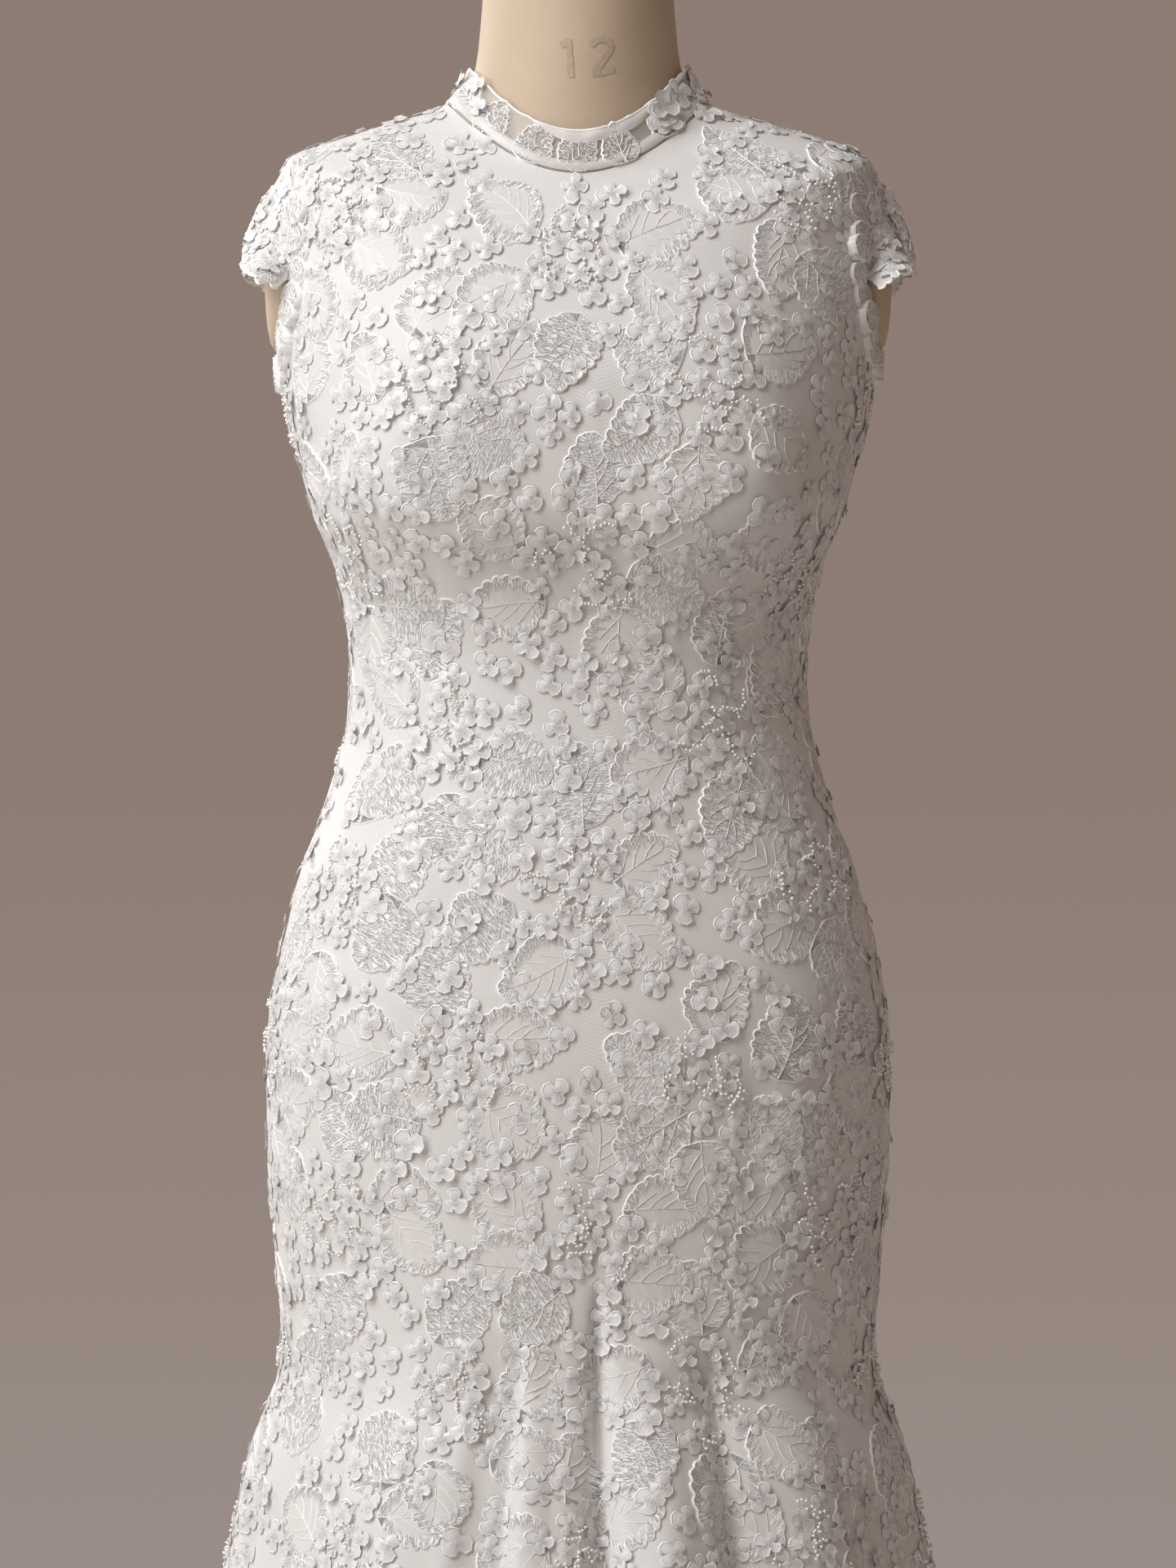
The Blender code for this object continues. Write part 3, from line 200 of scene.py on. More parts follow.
FOLDS = (
    Fold(5.5, 5.0, 6.5, -0.0150, 0.12),
    Fold(18.5, 21.0, 7.5, 0.0140, 0.16),
    Fold(33.0, 37.0, 7.5, -0.0140, 0.17),
    Fold(50.0, 54.0, 8.5, 0.0145, 0.22),
    Fold(68.0, 71.0, 9.0, -0.0150, 0.26),
    Fold(88.0, 89.0, 10.0, 0.0185, 0.28),
    Fold(109.0, 110.0, 10.5, -0.0160, 0.28),
    Fold(131.0, 131.0, 10.5, 0.0180, 0.24),
    Fold(154.0, 154.0, 11.0, -0.0160, 0.24),
    Fold(178.0, 178.0, 11.0, 0.0165, 0.22),
    Fold(-157.0, -157.0, 11.0, -0.0155, 0.22),
    Fold(-134.0, -134.0, 11.0, 0.0175, 0.26),
    Fold(-112.0, -112.0, 10.5, -0.0160, 0.28),
    Fold(-89.0, -90.0, 10.5, 0.0180, 0.28),
    Fold(-64.0, -66.0, 10.5, -0.0160, 0.24),
    Fold(-40.0, -43.0, 10.0, 0.0155, 0.20),
    Fold(-18.0, -21.0, 7.0, -0.0130, 0.13),
    Fold(-6.5, -8.0, 5.5, 0.0085, 0.14),
)

PRINCESS = (
    Stop(0.660, 0.097),
    Stop(0.840, 0.100),
    Stop(0.960, 0.094),
    Stop(1.060, 0.082),
    Stop(1.120, 0.0845),
    Stop(1.185, 0.092),
    Stop(1.235, 0.108),
    Stop(1.280, 0.142),
)

# Sharper creases of the flounce, on top of its flutes
SHARP_FOLDS = (
    Fold(5.2, 5.0, 1.7, -0.0060, 0.030),
    Fold(-5.5, -6.5, 4.0, -0.0055, 0.060),
    Fold(-12.5, -14.5, 3.6, 0.0045, 0.060),
    Fold(10.5, 12.0, 2.2, 0.0022, 0.060),
    Fold(-15.5, -19.5, 1.7, -0.0050, 0.050),
    Fold(-26.0, -31.0, 2.4, 0.0026, 0.090),
    Fold(33.5, 36.5, 1.8, -0.0052, 0.060),
    Fold(27.5, 30.5, 2.2, 0.0020, 0.080),
    Fold(58.0, 62.5, 2.0, -0.0042, 0.120),
    Fold(78.0, 80.0, 2.2, -0.0030, 0.160),
    Fold(101.0, 102.0, 2.1, -0.0042, 0.140),
    Fold(119.0, 121.0, 2.3, -0.0032, 0.100),
    Fold(141.0, 143.0, 2.0, -0.0044, 0.120),
    Fold(166.0, 165.0, 1.9, -0.0048, 0.080),
    Fold(-169.0, -168.0, 2.0, -0.0040, 0.100),
    Fold(-146.0, -147.0, 2.2, -0.0034, 0.110),
    Fold(-122.0, -123.0, 2.0, -0.0046, 0.130),
    Fold(-100.0, -101.0, 2.1, -0.0032, 0.140),
    Fold(-76.0, -79.0, 2.0, -0.0042, 0.120),
    Fold(-52.0, -56.0, 2.2, -0.0036, 0.100),
)


def mirrored_path(path):
    return tuple((-x, z) for x, z in path)


# Drag lines and soft swells of the bodice: (x, z) along each, at the front (side -1) or the back (side 1)
BUST_SHELF = ((-0.1240, 1.1660), (-0.0700, 1.1560), (0.0, 1.1620), (0.0700, 1.1560), (0.1240, 1.1660))
BUST_SIDE = ((0.1150, 1.2300), (0.1190, 1.1950), (0.1160, 1.1560))
HIP_RIDGE = ((0.1060, 0.9900), (0.1210, 0.9200), (0.1320, 0.8400), (0.1350, 0.7300))
CREASE_MARGIN = 3
CREASE_ENDS = 0.02
CREASES = (
    Crease(-1, -0.0021, 0.0040, ((-0.0917, 1.1105), (-0.0816, 1.0870), (-0.0796, 1.0725))),
    Crease(-1, -0.0016, 0.0034, ((-0.0790, 1.1115), (-0.0620, 1.1165), (-0.0459, 1.1215))),
    Crease(-1, -0.0022, 0.0042, ((0.0777, 1.1130), (0.1063, 1.1220), (0.1369, 1.1415))),
    Crease(-1, -0.0024, 0.0044, ((0.0874, 1.0740), (0.1018, 1.0920), (0.1175, 1.1055), (0.1388, 1.1250))),
    Crease(-1, 0.0014, 0.0050, ((0.0850, 1.0960), (0.1080, 1.1080), (0.1330, 1.1300))),
    Crease(-1, 0.0075, 0.0290, ((-0.0020, 1.2620), (0.0, 1.2200), (0.0, 1.1850), (0.0, 1.1550))),
    Crease(-1, 0.0045, 0.0220, BUST_SHELF),
    Crease(-1, 0.0050, 0.0230, BUST_SIDE),
    Crease(-1, 0.0045, 0.0230, mirrored_path(BUST_SIDE)),
    Crease(-1, 0.0042, 0.0300, HIP_RIDGE),
    Crease(-1, 0.0042, 0.0300, mirrored_path(HIP_RIDGE)),
    Crease(-1, -0.0015, 0.0038, ((0.1300, 1.0815), (0.1325, 1.0600), (0.1335, 1.0385))),
    Crease(-1, -0.0016, 0.0044, ((-0.1330, 1.1250), (-0.1150, 1.1080), (-0.1010, 1.0900))),
    Crease(-1, -0.0012, 0.0046, ((-0.1290, 1.0520), (-0.0900, 1.0440), (-0.0420, 1.0480))),
    Crease(-1, -0.0013, 0.0050, ((0.1260, 1.0420), (0.0820, 1.0330), (0.0300, 1.0390))),
    Crease(-1, -0.0010, 0.0050, ((-0.0300, 1.0120), (0.0100, 1.0060), (0.0560, 1.0100))),
    Crease(-1, -0.0012, 0.0060, ((-0.1250, 1.2400), (-0.1380, 1.2150), (-0.1420, 1.1850))),
    Crease(-1, -0.0013, 0.0060, ((0.1230, 1.2460), (0.1390, 1.2180), (0.1420, 1.1850))),
    Crease(-1, -0.0014, 0.0085, ((-0.1180, 0.8900), (-0.1060, 0.8200), (-0.1000, 0.7300))),
    Crease(-1, -0.0014, 0.0090, ((0.1150, 0.9000), (0.1080, 0.8200), (0.1020, 0.7400))),
    Crease(-1, -0.0012, 0.0090, ((0.0150, 0.8000), (0.0120, 0.7600), (0.0130, 0.7100))),
    Crease(1, -0.0020, 0.0050, ((-0.1220, 1.0700), (-0.0760, 1.0560), (-0.0250, 1.0600))),
    Crease(1, -0.0018, 0.0046, ((0.1230, 1.0640), (0.0790, 1.0500), (0.0280, 1.0560))),
    Crease(1, -0.0015, 0.0050, ((-0.1180, 1.0250), (-0.0700, 1.0140), (-0.0260, 1.0220))),
    Crease(1, -0.0016, 0.0052, ((0.1200, 1.0300), (0.0700, 1.0200), (0.0270, 1.0210))),
    Crease(1, -0.0015, 0.0060, ((-0.1400, 1.2300), (-0.1250, 1.1900), (-0.1220, 1.1500))),
    Crease(1, -0.0014, 0.0060, ((0.1420, 1.2350), (0.1280, 1.1900), (0.1240, 1.1450))),
    Crease(1, -0.0015, 0.0090, ((-0.1050, 0.8900), (-0.0980, 0.8100), (-0.1000, 0.7300))),
    Crease(1, -0.0015, 0.0090, ((0.1080, 0.9000), (0.1000, 0.8200), (0.1010, 0.7400))),
)


def smooth_curve(places, values):
    """A function that follows the values at their places smoothly and never overshoots them."""
    places = np.asarray(places, float)
    values = np.asarray(values, float)
    steps = np.diff(places)
    rises = np.diff(values) / steps
    before, after = rises[:-1], rises[1:]
    agree = before * after > 0
    inner = np.where(agree, 2 * before * after / np.where(agree, before + after, 1.0), 0.0)
    slopes = np.concatenate([rises[:1], inner, rises[-1:]])

    def at(place):
        place = np.clip(place, places[0], places[-1])
        row = np.clip(np.searchsorted(places, place, side="right") - 1, 0, len(steps) - 1)
        part = (place - places[row]) / steps[row]
        rest = 1 - part
        ends = values[row] * rest**2 * (1 + 2 * part) + values[row + 1] * part**2 * (1 + 2 * rest)
        return ends + steps[row] * part * rest * (slopes[row] * rest - slopes[row + 1] * part)

    return at


FORM_DEPTH = smooth_curve([ease.level for ease in EASES], [ease.depth for ease in EASES])
RING_LEVELS, *RING_SIZES = zip(*RINGS)
RING_CURVES = [smooth_curve(RING_LEVELS, sizes) for sizes in RING_SIZES]


def wrapped(angle):
    return (angle + math.pi) % (2 * math.pi) - math.pi


def flounce_seam(angle):
    """Level of the seam above the flounce: an inverted V at the front and the back."""
    rise = SEAM_RISE * np.abs(np.cos(angle)) ** SEAM_POWER
    front = np.exp(-np.abs(wrapped(angle - FRONT_PEAK)) / PEAK_WIDTH)
    back = np.exp(-np.abs(wrapped(angle - math.pi)) / PEAK_WIDTH)
    return SEAM_LEVEL + rise + PEAK_RISE * (front + back)


def fold_reach(angle, level, folds):
    """How far flutes or creases of the flounce move the skin outwards."""
    drop = np.maximum(flounce_seam(angle) - level, 0.0)
    share = np.clip(drop / (SEAM_LEVEL - HEM), 0.0, 1.0)
    total = np.zeros(np.broadcast(angle, level).shape)
    for fold in folds:
        middle = np.radians(fold.seam_deg + (fold.hem_deg - fold.seam_deg) * share)
        away = wrapped(angle - middle) / math.radians(fold.half_deg)
        total = total + fold.depth * np.exp(-(away**2)) * (1 - np.exp(-drop / fold.onset))
    return total


def bust_reach(x, level, facing):
    """How far the bust mounds move the skin outwards; facing is 1 at the front and 0 at the side."""
    above = np.where(level > BUST_LEVEL, BUST_ABOVE, BUST_BELOW)
    mound = np.exp(-(((np.abs(x) - BUST_X) / BUST_ACROSS) ** 2 + ((level - BUST_LEVEL) / above) ** 2) / 2)
    fade = np.clip(facing / BUST_FADE, 0.0, 1.0)
    return BUST_HEIGHT * mound * fade * fade * (3 - 2 * fade)


def skin(angle, level):
    """The cloth's outer face as the part has it, without its raised lace."""
    side_x, side_z, front_y, front_z, back_y, back_z, power = [curve(level) for curve in RING_CURVES]
    facing = np.cos(angle)
    depth = np.where(facing > 0, front_y, back_y)
    middle_z = np.where(facing > 0, front_z, back_z)
    across = np.abs(np.sin(angle)) / side_x
    reach = (across**power + (np.abs(facing) / depth) ** power) ** (-1 / power)
    side_share = np.minimum(across * reach, 1.0)
    z = middle_z + (side_z - middle_z) * side_share**2
    reach = reach + bust_reach(reach * np.sin(angle), level, facing) + fold_reach(angle, level, FOLDS)
    return np.stack([reach * np.sin(angle), -reach * facing, z + 0 * reach], axis=-1)


def crease_reach(points):
    """How far the drag lines move places of the bodice outwards."""
    total = np.zeros(points.shape[:-1])
    for crease in CREASES:
        path = np.array(crease.path)
        sides = np.diff(path, axis=0)
        lengths = np.linalg.norm(sides, axis=1)
        runs = np.concatenate([[0.0], np.cumsum(lengths)])
        margin = CREASE_MARGIN * crease.width
        flat = points[..., [0, 2]]
        near = ((flat > path.min(axis=0) - margin) & (flat < path.max(axis=0) + margin)).all(axis=-1)
        near &= points[..., 1] * crease.side > 0
        flat = flat[near]
        away = np.full(len(flat), np.inf)
        along = np.zeros(len(flat))
        for start, side, length, run in zip(path, sides, lengths, runs):
            share = np.clip((flat - start) @ side / length**2, 0, 1)
            distance = np.linalg.norm(flat - start - share[:, None] * side, axis=1)
            along = np.where(distance < away, (run + share * length) / runs[-1], along)
            away = np.minimum(distance, away)
        fade = np.sqrt(np.sin(math.pi * np.clip(along, CREASE_ENDS, 1 - CREASE_ENDS)))
        total[near] += crease.depth * fade * np.exp(-((away / crease.width) ** 2))
    return total


def unit(vectors):
    return vectors / np.maximum(np.linalg.norm(vectors, axis=-1, keepdims=True), SMALL)


class Cloth:
    """A curved piece of cloth under two coordinates, on which shapes are stamped."""

    def __init__(self, point, relief, low, high):
        self.point = point
        self.relief = relief
        self.low, self.high = low, high

    def frame(self, a, b):
        """Steps for each coordinate, and the unit normal."""
        b = np.clip(b, self.low + DIFFERENCE, self.high - DIFFERENCE)
        across = (self.point(a + DIFFERENCE, b) - self.point(a - DIFFERENCE, b)) / (2 * DIFFERENCE)
        along = (self.point(a, b + DIFFERENCE) - self.point(a, b - DIFFERENCE)) / (2 * DIFFERENCE)
        return across, along, unit(np.cross(across, along))

    def place(self, a, b, out=0.0):
        """Points of the cloth with its creases, moved out along its normal."""
        a, b, out = np.broadcast_arrays(a, b, out)
        points = self.point(a, b)
        return points + self.frame(a, b)[2] * (out + self.relief(a, b, points))[..., None]

    def nudged(self, a, b, across, along):
        """The coordinates that lie so many metres across and along from places of the cloth."""
        step_across, step_along, _ = self.frame(a, b)
        width = np.linalg.norm(step_across, axis=-1)
        slant = (step_along * step_across).sum(axis=-1) / width
        rise = np.sqrt(np.maximum((step_along**2).sum(axis=-1) - slant**2, SMALL))
        up = along / rise
        return a + (across - slant * up) / width, b + up

    def spread(self, a, b, turn, shape):
        """Coordinates of copies of a flat shape (copies, points, 2), turned about places of the cloth."""
        cosine, sine = np.cos(turn)[:, None], np.sin(turn)[:, None]
        across = shape[..., 0] * cosine - shape[..., 1] * sine
        along = shape[..., 0] * sine + shape[..., 1] * cosine
        return self.nudged(a[:, None], b[:, None], across, along)


def dress_relief(angle, level, points):
    return crease_reach(points) + fold_reach(angle, level, SHARP_FOLDS)


DRESS = Cloth(skin, dress_relief, HEM, NECK_TOP)


def moved_in(angle, level, depth):
    """Points below the skin, where the dress form is."""
    angle, level = np.broadcast_arrays(angle, level)
    return skin(angle, level) - DRESS.frame(angle, level)[2] * np.broadcast_to(depth, angle.shape)[..., None]


# Meshes


class Pile:
    """Points and faces of one object, gathered from many copies of small shapes."""

    def __init__(self):
        self.points, self.faces, self.maps, self.finishes = [], [], [], []
        self.count = 0

    def add(self, points, faces, flat, finish=0):
        """Copies of a shape: points (copies, n, 3), the faces of one copy, and its map (copies, n, 2)."""
        copies, size = points.shape[:2]
        if not copies:
            return
        shifts = self.count + np.arange(copies)[:, None, None] * size
        self.points.append(points.reshape(-1, 3))
        self.maps.append(np.broadcast_to(flat, (copies, size, 2)).reshape(-1, 2))
        for kind in faces if isinstance(faces, tuple) else (faces,):
            self.faces.append((kind[None] + shifts).reshape(-1, kind.shape[1]))
            self.finishes.append(np.full(copies * len(kind), finish))
        self.count += copies * size


def linked(name, data):
    """A new object in the scene."""
    made = bpy.data.objects.new(name, data)
    bpy.context.scene.collection.objects.link(made)
    return made


def new_object(name, pile, finishes, sharp_deg=None):
    """An object made from a pile."""
    mesh = bpy.data.meshes.new(name)
    corners = np.concatenate([faces.reshape(-1) for faces in pile.faces])
    sizes = np.concatenate([np.full(len(faces), faces.shape[1]) for faces in pile.faces])
    mesh.vertices.add(pile.count)
    mesh.vertices.foreach_set("co", np.concatenate(pile.points).astype(np.float32).reshape(-1))
    mesh.loops.add(len(corners))
    mesh.loops.foreach_set("vertex_index", corners.astype(np.int32))
    mesh.polygons.add(len(sizes))
    mesh.polygons.foreach_set("loop_start", np.concatenate([[0], np.cumsum(sizes)[:-1]]).astype(np.int32))
    mesh.polygons.foreach_set("material_index", np.concatenate(pile.finishes).astype(np.int32))
    mesh.update(calc_edges=True)
    layer = mesh.uv_layers.new(name="cloth")
    layer.data.foreach_set("uv", np.concatenate(pile.maps)[corners].astype(np.float32).reshape(-1))
    mesh.shade_smooth()
    if sharp_deg:
        mesh.set_sharp_from_angle(angle=math.radians(sharp_deg))
    for finish in finishes:
        mesh.materials.append(finish)
    return linked(name, mesh)


def new_piece(name, pile, finishes, replaced=(), sharp_deg=None):
    """An object made from a pile, riding on the body."""
    made = new_object(name, pile, finishes, sharp_deg)
    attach(made, BODY)
    if replaced:
        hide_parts(*replaced)
    return made


def turned_over(faces):
    """The same faces, seen from their other side."""
    return faces[:, [0, 3, 2, 1]]


def grid_faces(rows, columns, closed=False):
    """Faces between the points of a grid, rows upwards and columns anticlockwise from above."""
    wide = columns if closed else columns - 1
    row, column = np.meshgrid(np.arange(rows - 1), np.arange(wide), indexing="ij")
    following = (column + 1) % columns
    a, b = row * columns + column, row * columns + following
    return np.stack([a, b, b + columns, a + columns], axis=-1).reshape(-1, 4)


def loft_faces(rows, count):
    """Faces of a closed solid through rings, foot first, with a middle point for each end after them."""
    place = np.arange(count)
    after = (place + 1) % count
    last = (rows - 1) * count
    foot = np.stack([after, place, 0 * place + rows * count], axis=-1)
    crown = np.stack([place + last, after + last, 0 * place + rows * count + 1], axis=-1)
    return grid_faces(rows, count, closed=True), np.concatenate([foot, crown])


def tube_faces(rows, columns):
    """Faces of a tube that closes both ways."""
    column, row = np.meshgrid(np.arange(columns), np.arange(rows), indexing="ij")
    next_column, next_row = (column + 1) % columns, (row + 1) % rows
    corners = ((row, column), (next_row, column), (next_row, next_column), (row, next_column))
    return np.stack([r * columns + c for r, c in corners], axis=-1).reshape(-1, 4)


def solid_piece(name, node, rings, finish, sharp_deg):
    """A closed solid through rings, foot first, in place of a node."""
    ends = [np.mean(rings[0], axis=0), np.mean(rings[-1], axis=0)]
    points = np.concatenate([*rings, ends])
    pile = Pile()
    pile.add(points[None], loft_faces(len(rings), len(rings[0])), points[None, :, [0, 2]])
    return new_piece(name, pile, [finish], [node], sharp_deg)


def even_turns(count):
    return np.arange(count) * 2 * math.pi / count


def turned_rings(profile, count):
    """Rings about the Z axis from (radius, height) pairs."""
    turns = even_turns(count)
    return [np.stack([r * np.cos(turns), r * np.sin(turns), z + 0 * turns], axis=-1) for r, z in profile]


def grid_map(points):
    """Lengths across and along a grid of points, from its middle column and its foot."""
    across = np.linalg.norm(np.diff(points, axis=1), axis=2)
    along = np.linalg.norm(np.diff(points, axis=0), axis=2)
    across = np.pad(np.cumsum(across, axis=1), ((0, 0), (1, 0)))
    across -= across[:, [points.shape[1] // 2]]
    along = np.pad(np.cumsum(along, axis=0), ((1, 0), (0, 0)))
    return np.stack([across, along], axis=-1)


# Materials

# Length of a band of Blender's wave texture at scale 1
WAVE_PITCH = math.pi / 10


def rgba(value):
    """The four channels of a colour or a grey. A socket stays as it is."""
    if isinstance(value, bpy.types.NodeSocket):
        return value
    return (*value, 1.0) if hasattr(value, "__len__") else (value, value, value, 1.0)


class Finish:
    """A Principled material whose colour, roughness and bump come from small node patterns."""

    def __init__(self, name, colour, roughness, **settings):
        self.material = bpy.data.materials.new(name)
        self.material.use_nodes = True
        self.nodes = self.material.node_tree.nodes
        self.links = self.material.node_tree.links
        self.shader = self.nodes["Principled BSDF"]
        self.shader.inputs["Base Color"].default_value = rgba(colour)
        self.shader.inputs["Roughness"].default_value = roughness
        for key, value in settings.items():
            self.shader.inputs[key.replace("_", " ").title()].default_value = value
        self.material.diffuse_color = rgba(colour)

    def node(self, kind, settings=(), **values):
        """A new node. A value goes to the socket of its name, or i0, i1... to that of its number."""
        made = self.nodes.new("ShaderNode" + kind)
        for key, value in dict(settings).items():
            setattr(made, key, value)
        for key, value in values.items():
            socket = made.inputs[int(key[1:])] if key[0] == "i" and key[1:].isdigit() else made.inputs[key]
            if isinstance(value, bpy.types.NodeSocket):
                self.links.new(value, socket)
            else:
                socket.default_value = value
        return made

    def flat(self):
        """The cloth map, in metres."""
        return self.node("UVMap", {"uv_map": "cloth"}).outputs[0]

    def space(self):
        """Places on the object, in metres."""
        return self.node("TexCoord").outputs["Object"]

    def scaled(self, source, scale, turn_deg=0.0):
        turn = (0, 0, math.radians(turn_deg))
        return self.node("Mapping", Vector=source, Scale=scale, Rotation=turn).outputs[0]

    def noise(self, source, scale, detail=2.0, roughness=0.5):
        made = self.node("TexNoise", Vector=source, Scale=scale, Detail=detail, Roughness=roughness)
        return made.outputs["Fac"]

    def waves(self, source, pitch, turn_deg=0.0, direction="X"):
        """Lines a pitch apart."""
        kind = {"wave_type": "BANDS", "bands_direction": direction, "wave_profile": "SIN"}
        source = self.scaled(source, (1, 1, 1), turn_deg)
        return self.node("TexWave", kind, Vector=source, Scale=WAVE_PITCH / pitch, Detail=0.0).outputs["Fac"]

    def net(self, pitch, turn_deg):
        """Lines of the cloth map that cross, a pitch apart."""
        flat = self.flat()
        return self.maths("MAXIMUM", *[self.waves(flat, pitch, turn) for turn in (turn_deg, -turn_deg)])

    def maths(self, operation, first, second):
        return self.node("Math", {"operation": operation}, i0=first, i1=second).outputs[0]

    def fading(self, source, start, end):
        """1 where the source is at the start, falling to 0 at the end."""
        ends = {"From Min": start, "From Max": end, "To Min": 1.0, "To Max": 0.0}
        return self.node("MapRange", Value=source, **ends).outputs[0]

    def ramp(self, source, *stops):
        """Colours or greys at positions of a source."""
        made = self.node("ValToRGB", Fac=source)
        elements = made.color_ramp.elements
        while len(elements) < len(stops):
            elements.new(0.5)
        for element, (position, colour) in zip(elements, stops):
            element.position = position
            element.color = rgba(colour)
        return made.outputs["Color"]

    def clouds(self, scale, low, high, detail=2.0, roughness=0.5, start=0.3, end=0.7):
        """Two colours that run softly into each other."""
        return self.ramp(self.noise(self.space(), scale, detail, roughness), (start, low), (end, high))

    def mixed(self, share, first, second):
        kind = {"data_type": "RGBA", "blend_type": "MIX"}
        return self.node("Mix", kind, i0=share, i6=rgba(first), i7=rgba(second)).outputs[2]

    def drive(self, socket, source):
        self.links.new(source, self.shader.inputs[socket])

    def colour(self, source):
        self.drive("Base Color", source)

    def roughness(self, source):
        self.drive("Roughness", source)

    def alpha(self, source):
        self.drive("Alpha", source)

    def bump(self, height, distance, strength=1.0):
        made = self.node("Bump", Height=height, Distance=distance, Strength=strength)
        previous = self.shader.inputs["Normal"].links
        if previous:
            self.links.new(previous[0].from_socket, made.inputs["Normal"])
        self.drive("Normal", made.outputs[0])


def lining_under_net():
    """Smooth white lining under a fine diamond tulle."""
    made = Finish("net_over_lining", (0.72, 0.71, 0.695), 0.52, sheen_weight=0.12)
    net = made.ramp(made.net(0.0015, 38), (0.70, 0.0), (0.97, 1.0))
    ground = made.clouds(9.0, (0.690, 0.678, 0.661), (0.728, 0.718, 0.703), detail=3.0)
    made.colour(made.mixed(net, ground, (0.828, 0.820, 0.806)))
    made.bump(net, 0.00010, 0.5)
    made.bump(made.noise(made.space(), 38.0), 0.0005, 0.3)
    return made.material


CORD_EDGE = (0.0005, 0.0012)
STROKES = ((0.42, 0.0), (0.54, 1.0))
SHEER_STROKES = ((0.49, 0.0), (0.58, 1.0))
THREAD_COLOUR = (0.970, 0.965, 0.957)


def lace_thread(name, low, high, sheer=False):
    """Stitches that run inwards from a leaf's corded edge, from dense to bare ground between two depths, with
    painted shade on the ground between the strokes.

    The map is (run along the edge, depth inwards) in metres, so a place at no depth is cord. The two
    depths are in centimetres.
    """
    made = Finish(name, (0.88, 0.872, 0.86), 0.42, sheen_weight=0.12)
    flat = made.flat()
    depth = made.node("SeparateXYZ", Vector=flat).outputs["Y"]
    strokes = made.noise(made.scaled(flat, (900, 170, 1)), 1.0, 2.0, 0.55)
    strokes = made.ramp(strokes, *(SHEER_STROKES if sheer else STROKES))
    grain = made.ramp(made.noise(made.space(), 900.0, 2.0, 0.6), (0.44, 0.0), (0.60, 1.0))
    lobes = made.maths("MULTIPLY", made.noise(made.scaled(flat, (170, 20, 1)), 1.0, 1.0), 0.85)
    reach = made.maths("SUBTRACT", made.maths("MULTIPLY", depth, 100.0), lobes)
    field = made.fading(reach, low, high)
    dense = made.maths("MAXIMUM", strokes, made.maths("MULTIPLY", grain, 0.7))
    stitched = made.maths("MULTIPLY", dense, field)
    raised = made.maths("MAXIMUM", stitched, made.fading(depth, *CORD_EDGE))
    # The ground between the strokes of the stitched field is darker than the bare ground: painted shade
    # between the raised threads. Sheer lace has none.
    bare, between = (0.745, 0.734, 0.718), (0.685, 0.672, 0.654)
    if sheer:
        bare = between = (0.90, 0.89, 0.87)
    made.colour(made.mixed(raised, made.mixed(field, bare, between), THREAD_COLOUR))
    made.roughness(made.ramp(raised, (0.0, 0.52), (1.0, 0.36)))
    made.bump(raised, 0.00075)
    if sheer:
        made.alpha(made.ramp(raised, (0.0, 0.12), (0.6, 1.0)))
    return made.material


def organza(name, opacity):
    """Flat cut petals: a light rim, a stitched middle and a sheer ground. The map is (share of reach, 0)."""
    made = Finish(name, (0.86, 0.857, 0.85), 0.30, sheen_weight=0.15, coat_weight=0.25, coat_roughness=0.2)
    share = made.node("SeparateXYZ", Vector=made.flat()).outputs["X"]
    rim = made.ramp(share, (0.0, 0.0), (0.86, 0.0), (0.91, 1.0), (0.95, 0.9), (1.0, 0.3))
    knots = made.ramp(made.noise(made.space(), 1300.0, 2.0, 0.6), (0.46, 0.0), (0.58, 1.0))
    middle = made.maths("MULTIPLY", knots, made.ramp(share, (0.24, 1.0), (0.60, 0.0)))
    light = made.maths("MAXIMUM", rim, middle)
    made.colour(made.mixed(light, (0.848, 0.845, 0.839), (0.980, 0.977, 0.972)))
    made.bump(light, 0.00045, 0.9)
    made.alpha(made.ramp(light, (0.0, opacity), (0.9, 1.0)))
    return made.material


def pearl():
    made = Finish("pearl_bead", (0.93, 0.915, 0.885), 0.20, coat_weight=0.5, coat_roughness=0.12)
    made.colour(made.clouds(260.0, (0.91, 0.885, 0.845), (0.95, 0.94, 0.92)))
    return made.material


def satin():
    made = Finish("ivory_satin", (0.84, 0.825, 0.80), 0.34, sheen_weight=0.1)
    weave = made.waves(made.space(), 0.00045, 45)
    made.colour(made.clouds(60.0, (0.80, 0.785, 0.76), (0.865, 0.85, 0.825)))
    made.bump(weave, 0.00006, 0.5)
    return made.material


def sheer_net():
    """The collar's open net."""
    made = Finish("sheer_net", (0.84, 0.82, 0.79), 0.5)
    net = made.net(0.00115, 45)
    made.alpha(made.ramp(net, (0.62, 0.14), (0.92, 0.66)))
    made.bump(net, 0.0001)
    return made.material


def sheer_band():
    """The folded organza band round the foot of the collar."""
    made = Finish("organza_band", (0.82, 0.80, 0.775), 0.30, sheen_weight=0.1)
    weave = made.waves(made.space(), 0.0006, 40)
    made.colour(made.clouds(70.0, (0.78, 0.76, 0.73), (0.86, 0.845, 0.82)))
    made.alpha(made.ramp(weave, (0.2, 0.72), (0.9, 0.86)))
    made.bump(weave, 0.00005, 0.4)
    return made.material


def canvas():
    made = Finish("cream_canvas", (0.62, 0.48, 0.33), 0.72, sheen_weight=0.1)
    ground = made.clouds(14.0, (0.560, 0.440, 0.315), (0.615, 0.493, 0.362), 4.0, 0.6, end=0.72)
    fleck = made.ramp(made.noise(made.space(), 700.0), (0.35, 0.0), (0.75, 0.25))
    made.colour(made.mixed(fleck, ground, (0.66, 0.54, 0.40)))
    weft, warp = [made.waves(made.space(), 0.0007, direction=axis) for axis in ("X", "Z")]
    made.bump(made.maths("ADD", weft, warp), 0.00007, 0.6)
    return made.material


